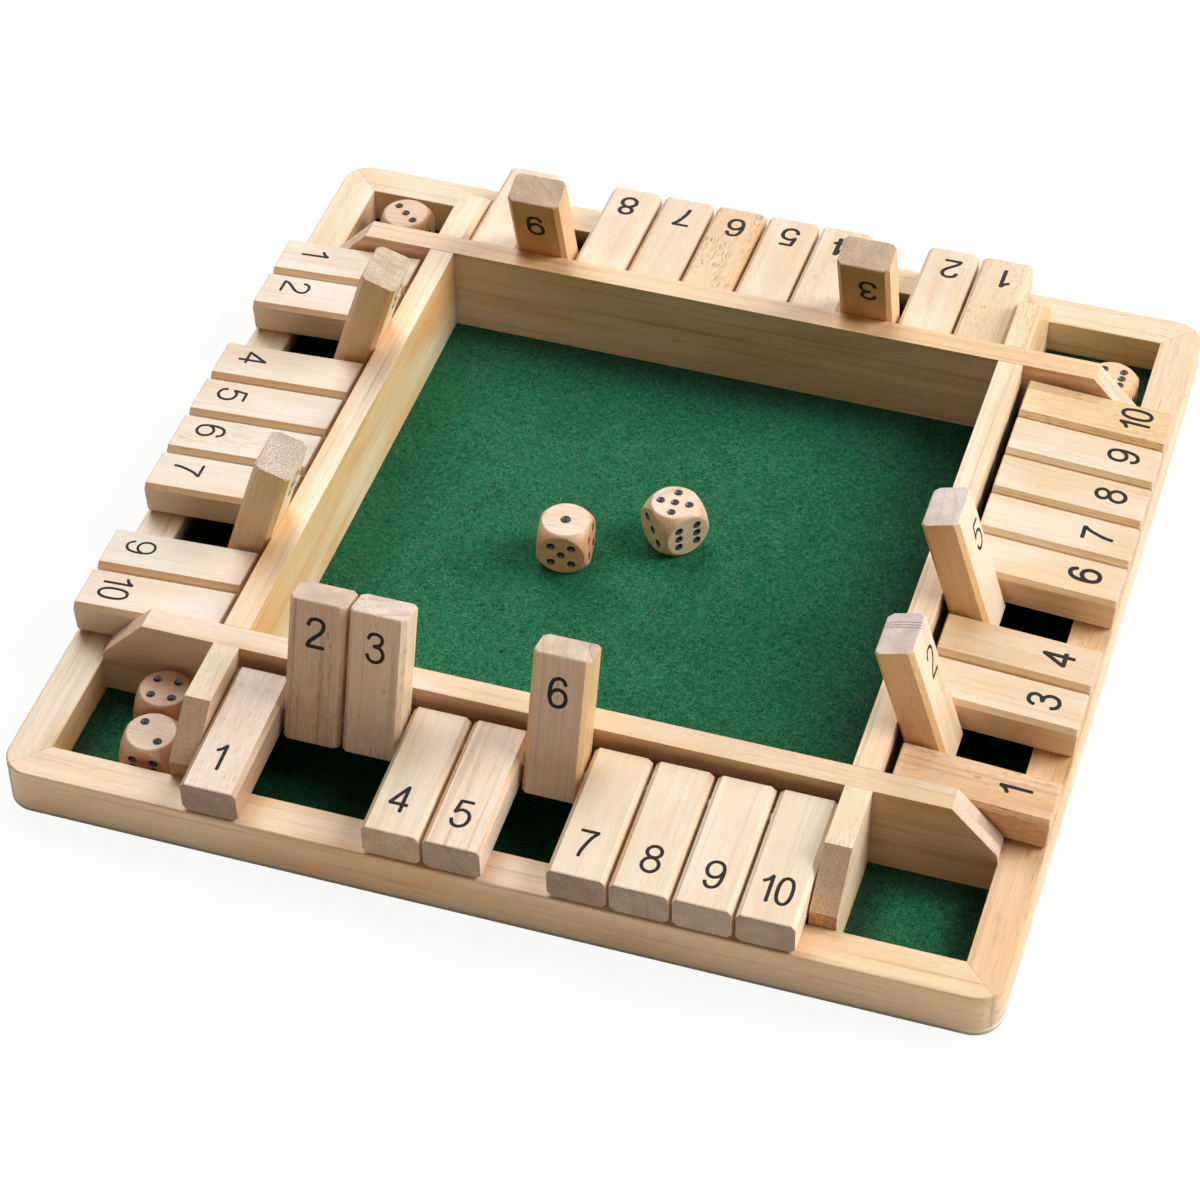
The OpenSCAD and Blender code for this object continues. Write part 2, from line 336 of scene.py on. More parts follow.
def paint_box_face_light_and_shade(tree, colour, here, box_face_light_and_shade):
    """Mixes a tone into the front wall's outer face in the left and in the right corner box: painted light
    in the left one and painted shade in the right one.
    """
    front = add(tree, "ShaderNodeVectorMath", {0: here["Normal"], 1: (0, -1, 0)}, operation="DOT_PRODUCT")
    outward = add(tree, "ShaderNodeMapRange", {"Value": front, 1: 0.7, 2: 0.9})
    x = add(tree, "ShaderNodeSeparateXYZ", {"Vector": here["Object"]}).outputs["X"]
    for mm_that_way, (tone, strength) in zip((-1000, 1000), box_face_light_and_shade):
        along_wall = add(tree, "ShaderNodeMath", {0: x, 1: mm_that_way}, operation="MULTIPLY")
        in_box = add(tree, "ShaderNodeMath", {0: along_wall, 1: WALL_OUT}, operation="GREATER_THAN")
        there = add(tree, "ShaderNodeMath", {0: outward, 1: in_box}, operation="MULTIPLY")
        amount = add(tree, "ShaderNodeMath", {0: there, 1: strength}, operation="MULTIPLY")
        colour = add(tree, "ShaderNodeMix", {
            MIX_FACTOR: amount, MIX_A: colour, MIX_B: paint(tone)}, **COLOURS)
    return colour


def tint_turned_corners(tree, colour, centred, half_wide, tint):
    """Tints a die's turned corners, which lie nearer its middle than its flat faces do, with a tint that
    paints the light and shade of these rounded zones.
    """
    size = add(tree, "ShaderNodeVectorMath", {0: centred}, operation="ABSOLUTE")
    axes = add(tree, "ShaderNodeSeparateXYZ", {"Vector": size}).outputs
    reach = add(tree, "ShaderNodeMath", {0: axes["X"], 1: axes["Y"]}, operation="MAXIMUM")
    reach = add(tree, "ShaderNodeMath", {0: reach, 1: axes["Z"]}, operation="MAXIMUM")
    turned = add(tree, "ShaderNodeMapRange", {
        "Value": reach, 1: half_wide - 0.5, 2: half_wide - 0.06, 3: 1.0, 4: 0.0}, **SOFTLY)
    return add(tree, "ShaderNodeMix", {MIX_FACTOR: turned, MIX_A: colour, MIX_B: paint(tint)}, **TINT)


def timber(name, along, origin=(0, 0, 0), seed=0, pale="#F4DFC4", warm="#EBCB9E", late="#CF9F6C",
           heart=(-34.0, 21.0), ring=3.4, rings=0.25, marked=None, streak=0.2, fleck=0.3,
           fleck_from=0.67, pore=3.4, grain_lines=1.0, end="#DCC6B2", end_late="#9A7568",
           end_from=0.55, saw=1.0, sides=None, chamfer=None, tinted_band=None, cap=None, painted_bay_shade=False,
           box_light_tint=None, painted_shade=None, box_face_light_and_shade=None, ball=None, ball_tint="#FDE0BD", soft=0.0,
           rough=0.38):
    """Sanded wood with a thin satin lacquer. Growth rings are cylinders round a heart that lies
    beside the piece, so faces show them as lines or cathedrals and ends as arcs. The eye gets pale
    early wood, slightly darker late wood, long soft streaks, short dark pores and a matt, darker
    end grain. along is a matrix whose rows are the piece's grain, thickness and width directions,
    and the patterns are worked out in millimetres along them.

    Patches go from pale to warm. heart is where the heart lies, ring the width of a ring in
    millimetres, late their colour and marked a range of distances that keeps them. rings, streak,
    fleck, grain_lines and saw are the strengths of the rings, streaks, pores, fibres and the
    speckle on the ends. fleck_from is the level of the noise where a pore starts, and pore its
    length. end and end_late are the end grain's colours, and end_from is the share of the grain's
    direction from which a cut face shows it.

    sides tints the faces across one of the three directions, as a board's edge looks another tone
    than its face: a tint, a row of along, and where the mask starts and is full. On some tiles and on
    the dice's upright faces this tint is painted shade. chamfer tints the slopes along a tile's long
    edges with painted shade. tinted_band is a tint with the heights where it starts, is full and
    ends, and cap tints what is above it. painted_bay_shade paints shade on a rail's inner face in the
    tile bays, and box_light_tint tints that face in the corner boxes against the green light that
    the felt throws on it. painted_shade is the strength and the height of the shade painted on a
    wall's outer face in the bays, and box_face_light_and_shade a tone and a strength for that face in
    the left and in the right corner box, which paint light in the left one and shade in the right
    one. ball is the distance from a die's middle to its flat faces, whose turned corners get
    ball_tint, a tint that paints the light and shade of those rounded zones. soft is the radius of
    worn edges in millimetres, and rough the roughness of the lacquer."""
    material, tree = blank(name)
    along = np.asarray(along)
    grain, _, width = along
    shift = -(along @ np.asarray(origin, float))
    seeded = SEED_STEP * (seed % 97)
    here = add(tree, "ShaderNodeTexCoord").outputs
    mm = add(tree, "ShaderNodeMapping", {
        "Vector": here["Object"], "Scale": MM_IN_METRE,
        "Rotation": tuple(Matrix(along.tolist()).to_euler("XYZ")),
        "Location": (shift[0] + seeded, shift[1], shift[2])}, vector_type="POINT")
    all_rings = growth_rings(tree, mm, heart, ring, marked)
    seen = stretched_noise(tree, mm, pore)

    # Pale and warm patches, then rings and streaks
    patch = add(tree, "ShaderNodeMapRange", {"Value": seen["patch"], 1: 0.35, 2: 0.68}, **SOFTLY)
    colour = add(tree, "ShaderNodeMix", {
        MIX_FACTOR: patch, MIX_A: paint(pale), MIX_B: paint(warm)}, **COLOURS)
    late_wood = add(tree, "ShaderNodeMath", {0: all_rings, 1: rings}, operation="MULTIPLY")
    colour = add(tree, "ShaderNodeMix", {
        MIX_FACTOR: late_wood, MIX_A: colour, MIX_B: paint(late)}, **COLOURS)
    dark_streak = add(tree, "ShaderNodeMapRange", {
        "Value": seen["streak"], 1: 0.52, 2: 0.74, 4: streak}, **SOFTLY)
    colour = add(tree, "ShaderNodeMix", {
        MIX_FACTOR: dark_streak, MIX_A: colour, MIX_B: paint("#A0703F")}, **COLOURS)

    # Pores: short dark dashes that come in clusters
    where = add(tree, "ShaderNodeMapRange", {"Value": seen["cluster"], 1: 0.42, 2: 0.62, 3: 0.25}, **SOFTLY)
    dash = add(tree, "ShaderNodeMapRange", {
        "Value": seen["pore"], 1: fleck_from - 0.02, 2: fleck_from + 0.06, 4: 0.7 * fleck}, **SOFTLY)
    pores = add(tree, "ShaderNodeMath", {0: where, 1: dash}, operation="MULTIPLY")
    colour = add(tree, "ShaderNodeMix", {
        MIX_FACTOR: pores, MIX_A: colour, MIX_B: paint("#9A6236")}, **COLOURS)

    # Fibres lighten and darken the whole surface a little
    fibre = add(tree, "ShaderNodeMapRange", {
        "Value": seen["fibre"], 1: 0.25, 2: 0.75, 3: 1 - 0.09 * grain_lines, 4: 1 + 0.07 * grain_lines})
    colour = add(tree, "ShaderNodeHueSaturation", {"Color": colour, "Value": fibre})

    # End grain, also on cuts across the grain: pinker and duller, with thin dark rings, cloudy
    # patches and a speckle from the saw
    end_mask = add(tree, "ShaderNodeMapRange", {
        "Value": facing(tree, here["Normal"], grain), 1: end_from, 2: end_from + 0.2}, **SOFTLY)
    torn = add(tree, "ShaderNodeMapRange", {
        "Value": seen["saw"], 1: 0.3, 2: 0.7, 3: 1 - 0.34 * saw, 4: 1 + 0.2 * saw})
    clouds = add(tree, "ShaderNodeMapRange", {"Value": seen["cloud"], 1: 0.3, 2: 0.7, 3: 0.84, 4: 1.08})
    speckle = add(tree, "ShaderNodeMath", {0: torn, 1: clouds}, operation="MULTIPLY")
    arcs = add(tree, "ShaderNodeMath", {0: all_rings, 1: 0.1 + 1.3 * rings},
               operation="MULTIPLY", use_clamp=True)
    sawn = add(tree, "ShaderNodeMix", {
        MIX_FACTOR: arcs, MIX_A: paint(end), MIX_B: paint(end_late)}, **COLOURS)
    end_grain = add(tree, "ShaderNodeHueSaturation", {"Color": sawn, "Value": speckle})
    colour = add(tree, "ShaderNodeMix", {MIX_FACTOR: end_mask, MIX_A: colour, MIX_B: end_grain}, **COLOURS)

    # Tints, painted shade and painted light that only some pieces have
    if sides:
        tint, row, start, full = sides
        side_mask = add(tree, "ShaderNodeMapRange", {
            "Value": facing(tree, here["Normal"], along[row]), 1: start, 2: full})
        colour = add(tree, "ShaderNodeMix", {
            MIX_FACTOR: side_mask, MIX_A: colour, MIX_B: paint(tint)}, **TINT)
    if chamfer:
        colour = tint_slopes(tree, colour, here["Normal"], width, chamfer)
    if tinted_band:
        height = add(tree, "ShaderNodeSeparateXYZ", {"Vector": mm}).outputs["Y"]
        colour = tint_heights(tree, colour, height, tinted_band, cap)
    if painted_bay_shade:
        colour = shade_rail(tree, colour, here["Object"], box_light_tint)
    if painted_shade:
        colour = shade_wall(tree, colour, here["Object"], painted_shade)
    if box_face_light_and_shade:
        colour = paint_box_face_light_and_shade(tree, colour, here, box_face_light_and_shade)
    if ball:
        centred = add(tree, "ShaderNodeVectorMath", {0: mm, 1: (seeded, 0, 0)}, operation="SUBTRACT")
        colour = tint_turned_corners(tree, colour, centred, ball, ball_tint)

    # Relief: fine fibres, open pores, and the saw's marks on the ends
    hollow = add(tree, "ShaderNodeMath", {0: seen["fibre"], 1: pores}, operation="SUBTRACT")
    cut = add(tree, "ShaderNodeMath", {0: seen["saw"], 1: end_mask}, operation="MULTIPLY")
    height = add(tree, "ShaderNodeMath", {0: hollow, 1: cut}, operation="ADD")
    relief = add(tree, "ShaderNodeBump", {"Height": height, "Distance": 0.00006, "Strength": 0.7})
    if soft:
        worn = add(tree, "ShaderNodeBevel", {"Radius": soft / 1000}, samples=4)
        tree.links.new(worn.outputs["Normal"], relief.inputs["Normal"])
    duller = add(tree, "ShaderNodeMapRange", {"Value": end_mask, 3: rough, 4: 0.8})
    finish_material(tree, {
        "Base Color": colour, "Roughness": duller, "Specular IOR Level": 0.55, "Normal": relief})
    return material


# ---------------------------------------------------------------- felt, steel, board and paint


def near_walls(tree, metres):
    """The tile bays and a point's place as bays() gives them, and how deep the point lies in the shade
    painted beside the frame, from 0 to 1: as PAINTED_TRAY_SHADES says in the tray, and in a corner box
    full within 3 mm of a wall or rail and gone 13 mm from it."""
    bay, far, near, axes = bays(tree, metres)
    deepest = 0.0
    for axis, full, gone, strength in PAINTED_TRAY_SHADES:
        shade = add(tree, "ShaderNodeMapRange", {
            "Value": axes[axis], 1: full, 2: gone, 3: strength, 4: 0.0}, **SOFTLY)
        deepest = add(tree, "ShaderNodeMath", {0: deepest, 1: shade}, operation="MAXIMUM")
    in_tray = add(tree, "ShaderNodeMath", {0: far, 1: WITHIN_WALLS}, operation="LESS_THAN")
    tray_painted_shade = add(tree, "ShaderNodeMath", {0: deepest, 1: in_tray}, operation="MULTIPLY")
    from_rail = add(tree, "ShaderNodeMath", {0: RAIL_IN, 1: far}, operation="SUBTRACT")
    from_wall = add(tree, "ShaderNodeMath", {0: near, 1: WALL_OUT}, operation="SUBTRACT")
    clear = add(tree, "ShaderNodeMath", {0: from_rail, 1: from_wall}, operation="MINIMUM")
    beside = add(tree, "ShaderNodeMapRange", {"Value": clear, 1: 3.0, 2: 13.0, 3: 1.0, 4: 0.0}, **SOFTLY)
    in_box = add(tree, "ShaderNodeMath", {0: near, 1: WITHIN_WALLS}, operation="GREATER_THAN")
    box_painted_shade = add(tree, "ShaderNodeMath", {0: beside, 1: in_box}, operation="MULTIPLY")
    return bay, axes, add(tree, "ShaderNodeMath", {0: tray_painted_shade, 1: box_painted_shade}, operation="MAXIMUM")


def needle_felt():
    """Green needle-punched polyester felt, about a millimetre of matted staple fibres 0.2 to 3 mm
    long. The eye gets a soft, matt green that is broken up by lighter and darker hairs lying every
    way, drawn here 0.3 mm wide so that they show, over faint clouds where the fleece is thicker. It
    has painted shade beside the frame, and painted shade that makes it nearly black in the tile bays."""
    material, tree = blank("needle_felt")
    here = add(tree, "ShaderNodeTexCoord").outputs
    mm = add(tree, "ShaderNodeVectorMath", {0: here["Object"], 1: MM_IN_METRE}, operation="MULTIPLY")

    # Hairs are the thin lines where a noise, stretched along one of four directions and bent a
    # little, passes its middle level
    curl = add(tree, "ShaderNodeTexNoise", {"Vector": mm, "Scale": 0.45, "Detail": 1.0})
    bent = add(tree, "ShaderNodeVectorMath", {0: curl.outputs["Color"], 1: (3.4, 3.4, 0.0), 2: mm},
               operation="MULTIPLY_ADD")
    hairs = 0.0
    for angle in (18.0, 63.0, 108.0, 153.0):
        lay = add(tree, "ShaderNodeMapping", {
            "Vector": bent, "Rotation": (0, 0, math.radians(angle)),
            "Location": (7.1 * angle, 3.3 * angle, 0)})
        drawn = add(tree, "ShaderNodeVectorMath", {0: lay, 1: (0.36, 2.5, 1.0)}, operation="MULTIPLY")
        swirl = add(tree, "ShaderNodeTexNoise", {"Vector": drawn, "Scale": 1.0, "Detail": 0.0})
        off = add(tree, "ShaderNodeMath", {0: swirl, 1: 0.5}, operation="SUBTRACT")
        beside = add(tree, "ShaderNodeMath", {0: off}, operation="ABSOLUTE")
        strand = add(tree, "ShaderNodeMapRange", {"Value": beside, 1: 0.015, 2: 0.07, 3: 1.0, 4: 0.0})
        hairs = add(tree, "ShaderNodeMath", {0: hairs, 1: strand}, operation="ADD")
    light = add(tree, "ShaderNodeMapRange", {"Value": hairs, 1: 0.0, 2: 1.8})
    hairy = add(tree, "ShaderNodeMix", {
        MIX_FACTOR: light, MIX_A: paint("#0F4D2B"), MIX_B: paint("#378F65")}, **COLOURS)

    # Grit and clouds lighten and darken it
    grit = add(tree, "ShaderNodeTexNoise", {"Vector": mm, "Scale": 2.4, "Detail": 2.0})
    cloud = add(tree, "ShaderNodeTexNoise", {"Vector": mm, "Scale": 0.055, "Detail": 3.0, "Roughness": 0.6})
    gritty = add(tree, "ShaderNodeMapRange", {"Value": grit, 1: 0.3, 2: 0.7, 3: 0.86, 4: 1.14})
    clouded = add(tree, "ShaderNodeMapRange", {"Value": cloud, 1: 0.35, 2: 0.65, 3: 0.92, 4: 1.06})
    value = add(tree, "ShaderNodeMath", {0: gritty, 1: clouded}, operation="MULTIPLY")
    fleece = add(tree, "ShaderNodeHueSaturation", {"Color": hairy, "Value": value})

    # Painted shade beside the frame, and painted shade that makes the felt of the bays nearly black, a
    # little less dark in the front one
    bay, axes, painted_shade = near_walls(tree, here["Object"])
    dim = add(tree, "ShaderNodeMix", {MIX_FACTOR: painted_shade, MIX_A: fleece, MIX_B: paint("#E1A6AE")}, **TINT)
    bay_shade_strength = add(tree, "ShaderNodeMapRange", {"Value": axes["Y"], 1: -101.0, 2: -90.0, 3: 0.62, 4: 0.9})
    amount = add(tree, "ShaderNodeMath", {0: bay, 1: bay_shade_strength}, operation="MULTIPLY")
    colour = add(tree, "ShaderNodeMix", {
        MIX_FACTOR: amount, MIX_A: dim, MIX_B: paint("#0C120D")}, **COLOURS)
    relief = add(tree, "ShaderNodeBump", {"Height": light, "Distance": 0.0003, "Strength": 0.6})
    finish_material(tree, {
        "Base Color": colour, "Roughness": 0.95, "Specular IOR Level": 0.06, "Sheen Weight": 0.1,
        "Sheen Roughness": 0.5, "Sheen Tint": paint("#5FA982"), "Normal": relief})
    return material


def felt_hair():
    """Loose staple fibres that stand a little proud of the felt: the same dyed polyester, so the
    eye gets single lighter threads with a slight sheen."""
    material, tree = blank("felt_hair")
    here = add(tree, "ShaderNodeTexCoord").outputs
    tone = add(tree, "ShaderNodeTexNoise", {"Vector": here["Object"], "Scale": 900.0, "Detail": 0.0})
    varied = add(tree, "ShaderNodeMapRange", {"Value": tone, 1: 0.35, 2: 0.65})
    colour = add(tree, "ShaderNodeMix", {
        MIX_FACTOR: varied, MIX_A: paint("#1C6341"), MIX_B: paint("#4A9772")}, **COLOURS)
    # Painted shade beside the frame, as on the felt
    _, _, painted_shade = near_walls(tree, here["Object"])
    dim = add(tree, "ShaderNodeMix", {MIX_FACTOR: painted_shade, MIX_A: colour, MIX_B: paint("#8C6E74")}, **TINT)
    finish_material(tree, {
        "Base Color": dim, "Roughness": 0.7, "Specular IOR Level": 0.25, "Sheen Weight": 0.2})
    return material


def drawn_steel():
    """Drawn mild steel rod, left bright. The eye gets a clear metal reflection that is stretched
    round the rod by fine lines along it, 0.3 mm apart here so that they show."""
    material, tree = blank("drawn_steel")
    here = add(tree, "ShaderNodeTexCoord").outputs
    lines = add(tree, "ShaderNodeTexNoise", {"Vector": here["Object"], "Scale": 3000.0, "Detail": 1.0})
    rough = add(tree, "ShaderNodeMapRange", {"Value": lines, 1: 0.3, 2: 0.7, 3: 0.14, 4: 0.28})
    tone = add(tree, "ShaderNodeMix", {
        MIX_FACTOR: lines, MIX_A: paint("#C9C9C8"), MIX_B: paint("#E2E1DE")}, **COLOURS)
    finish_material(tree, {"Base Color": tone, "Metallic": 1.0, "Roughness": rough})
    return material


def fibreboard():
    """Plain fibreboard 2.4 mm thick under the frame. The eye gets a grey-beige edge of compressed
    fibres, with a pale line along the top of it, against the frame."""
    material, tree = blank("plain_fibreboard")
    here = add(tree, "ShaderNodeTexCoord").outputs
    height = add(tree, "ShaderNodeSeparateXYZ", {"Vector": here["Object"]}).outputs["Z"]
    pale_top = add(tree, "ShaderNodeMapRange", {"Value": height, 1: 0.0011, 2: 0.0014}, **SOFTLY)
    stretch = add(tree, "ShaderNodeVectorMath", {0: here["Object"], 1: (120, 120, 2500)},
                  operation="MULTIPLY")
    fibres = add(tree, "ShaderNodeTexNoise", {"Vector": stretch, "Scale": 1.0, "Detail": 3.0})
    banded = add(tree, "ShaderNodeMix", {
        MIX_FACTOR: pale_top, MIX_A: paint("#D6CCB8"), MIX_B: paint("#FFF8EC")}, **COLOURS)
    value = add(tree, "ShaderNodeMapRange", {"Value": fibres, 1: 0.3, 2: 0.7, 3: 0.88, 4: 1.08})
    colour = add(tree, "ShaderNodeHueSaturation", {"Color": banded, "Value": value})
    relief = add(tree, "ShaderNodeBump", {"Height": fibres, "Distance": 0.0001, "Strength": 0.5})
    finish_material(tree, {
        "Base Color": colour, "Roughness": 0.6, "Specular IOR Level": 0.3, "Normal": relief})
    return material


def printed_ink():
    """Screen-printed black-brown ink that has soaked into the grain a little. The eye gets a dark
    satin mark, slightly uneven where the wood's fibres show through."""
    material, tree = blank("printed_ink")
    here = add(tree, "ShaderNodeTexCoord").outputs
    blot = add(tree, "ShaderNodeTexNoise", {"Vector": here["Object"], "Scale": 1400.0, "Detail": 2.0})
    uneven = add(tree, "ShaderNodeMapRange", {"Value": blot, 1: 0.35, 2: 0.75})
    colour = add(tree, "ShaderNodeMix", {
        MIX_FACTOR: uneven, MIX_A: paint("#16110E"), MIX_B: paint("#2B231D")}, **COLOURS)
    finish_material(tree, {"Base Color": colour, "Roughness": 0.6, "Specular IOR Level": 0.2})
    return material


def gloss_enamel():
    """Black enamel pooled in the drilled pips. The eye gets near black with one small bright
    reflection in each cup."""
    material, tree = blank("gloss_enamel")
    here = add(tree, "ShaderNodeTexCoord").outputs
    pool = add(tree, "ShaderNodeTexNoise", {"Vector": here["Object"], "Scale": 700.0, "Detail": 1.0})
    colour = add(tree, "ShaderNodeMix", {
        MIX_FACTOR: pool, MIX_A: paint("#120D0D"), MIX_B: paint("#241C1E")}, **COLOURS)
    rough = add(tree, "ShaderNodeMapRange", {"Value": pool, 1: 0.3, 2: 0.7, 3: 0.24, 4: 0.36})
    finish_material(tree, {"Base Color": colour, "Roughness": rough, "Specular IOR Level": 0.75})
    return material


# ---------------------------------------------------------------- softening the cut edges


def smooth_by_angle():
    """A modifier group: every face is smooth, and an edge where faces turn by over 33 degrees stays
    sharp. The normals that came with the imported mesh are dropped first."""
    group = bpy.data.node_groups.new("smooth_by_angle", "GeometryNodeTree")
    group.interface.new_socket("Geometry", in_out="INPUT", socket_type="NodeSocketGeometry")
    group.interface.new_socket("Geometry", in_out="OUTPUT", socket_type="NodeSocketGeometry")
    start = add(group, "NodeGroupInput")
    plain = add(group, "GeometryNodeSetMeshNormal", {"Mesh": start.outputs["Geometry"]}, mode="SHARPNESS")
    faces = add(group, "GeometryNodeSetShadeSmooth", {
        "Geometry": plain, "Shade Smooth": True}, domain="FACE")
    turn = add(group, "GeometryNodeInputMeshEdgeAngle")
    sharp = add(group, "ShaderNodeMath", {0: turn.outputs["Unsigned Angle"], 1: math.radians(33)},
                operation="GREATER_THAN")
    edges = add(group, "GeometryNodeSetShadeSmooth", {
        "Geometry": faces, "Selection": sharp, "Shade Smooth": False}, domain="EDGE")
    add(group, "NodeGroupOutput", {"Geometry": edges})
    return group


def keep_flat(piece):
    """Lets the size of a piece's flat faces decide the shading of the edges beside them."""
    piece.modifiers.new("flat_faces", "WEIGHTED_NORMAL").keep_sharp = True


def ease(piece, width_mm, group, angle=50, flat=True, corners_mm=0):
    """Joins the loose triangles, smooths the round parts and takes the sharp edges off a piece, the
    square corners first where they are worn more than the rest. angle is the least turn in degrees
    of an edge that is eased."""
    piece.modifiers.new("join", "WELD").merge_threshold = 1e-6
    shade = piece.modifiers.new("shade", "NODES")
    shade.node_group = group
    for name, width, limit in (("corners", corners_mm, 70), ("ease", width_mm, angle)):
        if width:
            bevel = piece.modifiers.new(name, "BEVEL")
            bevel.width = width / 1000
            bevel.segments = 2
            bevel.limit_method = "ANGLE"
            bevel.angle_limit = math.radians(limit)
            bevel.harden_normals = not flat
    if flat:
        keep_flat(piece)


# ---------------------------------------------------------------- camera and light

# The camera's place in metres, its turns about X, Y and Z in degrees, starting from a look straight
# down, and its lens in millimetres
CAMERA_AT = (0.2366653, -0.7727345, 0.7838079)
CAMERA_TURNS = (45.3997, 0.3585, 17.5262)
LENS = 107.482


def set_camera():
    """A long lens, from the front right and above."""
    camera = bpy.data.objects.new("camera", bpy.data.cameras.new("camera"))
    bpy.context.scene.collection.objects.link(camera)
    camera.data.sensor_width = 36.0
    camera.data.lens = LENS
    camera.data.clip_end = 20.0
    turns = Euler([math.radians(angle) for angle in CAMERA_TURNS])
    camera.matrix_world = Matrix.LocRotScale(Vector(CAMERA_AT), turns, None)
    bpy.context.scene.camera = camera


def softbox(name, towards, distance, width, height, power):
    """A rectangular area lamp on a line from the board's middle, turned to face it. Lengths are
    metres and the power is watts."""
    lamp = bpy.data.objects.new(name, bpy.data.lights.new(name, "AREA"))
    bpy.context.scene.collection.objects.link(lamp)
    lamp.data.shape = "RECTANGLE"
    lamp.data.size = width
    lamp.data.size_y = height
    lamp.data.energy = power
    lamp.location = np.array(towards, float) / np.linalg.norm(towards) * distance
    lamp.rotation_euler = (-lamp.location).to_track_quat("-Z", "Y").to_euler()


def seen_white(tree, plain, white):
    """Mixes in a white shader for camera, glossy and transmission rays only."""
    path = add(tree, "ShaderNodeLightPath").outputs
    seen = add(tree, "ShaderNodeMath", {0: path["Is Camera Ray"], 1: path["Is Glossy Ray"]},
               operation="MAXIMUM")
    seen = add(tree, "ShaderNodeMath", {0: seen, 1: path["Is Transmission Ray"]}, operation="MAXIMUM")
    return add(tree, "ShaderNodeMixShader", {0: seen, 1: plain, 2: white})


def set_studio():
    """A white table and backdrop, a big softbox on the right, a smaller one behind on the left, and
    a weak light from all round."""
    world = bpy.data.worlds.new("studio")
    world.use_nodes = True
    tree = world.node_tree
    tree.nodes.clear()
    weak = add(tree, "ShaderNodeBackground", {"Color": (1.0, 0.72, 0.42, 1), "Strength": 0.09})
    white = add(tree, "ShaderNodeBackground", {"Color": (1, 1, 1, 1), "Strength": 1.0})
    add(tree, "ShaderNodeOutputWorld", {"Surface": seen_white(tree, weak, white)})
    bpy.context.scene.world = world

    softbox("key_right", (0.795, 0.27, 0.543), 3.2, 1.8, 2.8, 112.0)
    softbox("key_back_left", (-0.361, 0.548, 0.755), 3.2, 2.2, 2.2, 61.0)

    # The table looks white and shows a faint shadow, and throws a warm light back on the board
    material, tree = blank("white_table")
    bounce = add(tree, "ShaderNodeBsdfDiffuse", {"Color": (1.0, 0.86, 0.7, 1)})
    shaded = add(tree, "ShaderNodeBsdfDiffuse", {"Color": (0.1, 0.1, 0.1, 1)})
    glow = add(tree, "ShaderNodeEmission", {"Color": (1, 1, 1, 1), "Strength": 0.92})
    both = add(tree, "ShaderNodeAddShader", {0: shaded, 1: glow})
    add(tree, "ShaderNodeOutputMaterial", {"Surface": seen_white(tree, bounce, both)})
    reach, top = 4000.0, -0.02
    corners = [(-reach, -reach, top), (reach, -reach, top), (reach, reach, top), (-reach, reach, top)]
    table = skin("table", corners, [[0, 1, 2, 3]], material, smooth=False)
    bpy.context.scene.view_settings.view_transform = "Standard"


# ---------------------------------------------------------------- frame rails

# The rounds on a rail's edges: along its top and its foot outside, and along its top inside
EASE_TOP = 0.7
EASE_FOOT = 0.1
EASE_IN = 0.3

# How far each end of a rail stops short of the mitre
MITRE_GAP = 0.04


def rail_path(arc_steps=10, run_steps=41):
    """The outer line of the front rail and the points across from it on the inner line. The outer
    line is an eighth of a circle, a straight run and another eighth; the inner line stays on its
    corner beside each arc and runs straight between them."""
    reach = BOARD_HALF - CORNER_RADIUS
    turn = np.radians(np.linspace(225, 270, arc_steps))
    left = np.stack([-reach + CORNER_RADIUS * np.cos(turn), -reach + CORNER_RADIUS * np.sin(turn)], -1)
    run = np.linspace(-reach, reach, run_steps)[1:-1]
    middle = np.stack([run, np.full_like(run, -BOARD_HALF)], -1)
    right = left[::-1] * (-1, 1)
    outer = np.concatenate([left, middle, right])
    corner = np.full(arc_steps, RAIL_IN)
    beside = np.concatenate([-corner, run * RAIL_IN / reach, corner])
    return outer, np.stack([beside, np.full_like(beside, -RAIL_IN)], -1)


def rail_rings():
    """Rows of points round the rail's section, carried along its path. Each point is a distance
    from the inner or the outer line and a height; the edges are quarter circles."""
    outer, inner = rail_path()
    across = (inner - outer) / np.linalg.norm(outer - inner, axis=1)[:, None]
    quarter = np.radians(np.linspace(0, 90, 6))
    c, s = np.cos(quarter), np.sin(quarter)
    section = (
        (outer, EASE_FOOT * (1 - s), BASE_TOP + EASE_FOOT * (1 - c)),
        (outer, EASE_TOP * (1 - c), RAIL_TOP - EASE_TOP * (1 - s)),
        (inner, -EASE_IN * (1 - s), RAIL_TOP - EASE_IN * (1 - c)),
        (inner, np.zeros(1), np.full(1, BASE_TOP)))
    return np.concatenate([
        with_heights(line[:, None, :] + across[:, None, :] * into[None, :, None], up)
        for line, into, up in section], 1)


def make_rails(woods):
    """Four mitred rails with an eased outer edge, each with its own length of wood. The gap at the
    mitres makes the joint show as a fine dark line."""
    rings = rail_rings()
    rings[0, :, 0] += MITRE_GAP
    rings[-1, :, 0] -= MITRE_GAP
    count, around = rings.shape[:2]
    faces = grid_faces(count, around, wrap_columns=True)
    faces.append(list(range(around))[::-1])
    faces.append([(count - 1) * around + k for k in range(around)])
    for side, name in enumerate(SIDES):
        points = rings.reshape(-1, 3) @ about_z(side * QUARTER_TURN).T
        rail = skin("mitred_rail_" + name, points, faces, woods[side])
        rail.data.set_sharp_from_angle(angle=math.radians(40))
        keep_flat(rail)
        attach(rail, "box")
        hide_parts("rail_" + name)


# ---------------------------------------------------------------- felt

FELT_ROWS = 150
FELT_THICK = 1.7
SWELL = 0.05

# Loose fibres: how far from the middle lines they lie in the tray and in a corner box, how many
# there are in each, and the radius round a die's middle that is free of them
FIBRES_IN_TRAY = 91
FIBRES_IN_BOX = (101, 136.5)
TRAY_FIBRES = 15500
BOX_FIBRES = 560
CLEAR_OF_DIE = 8.6


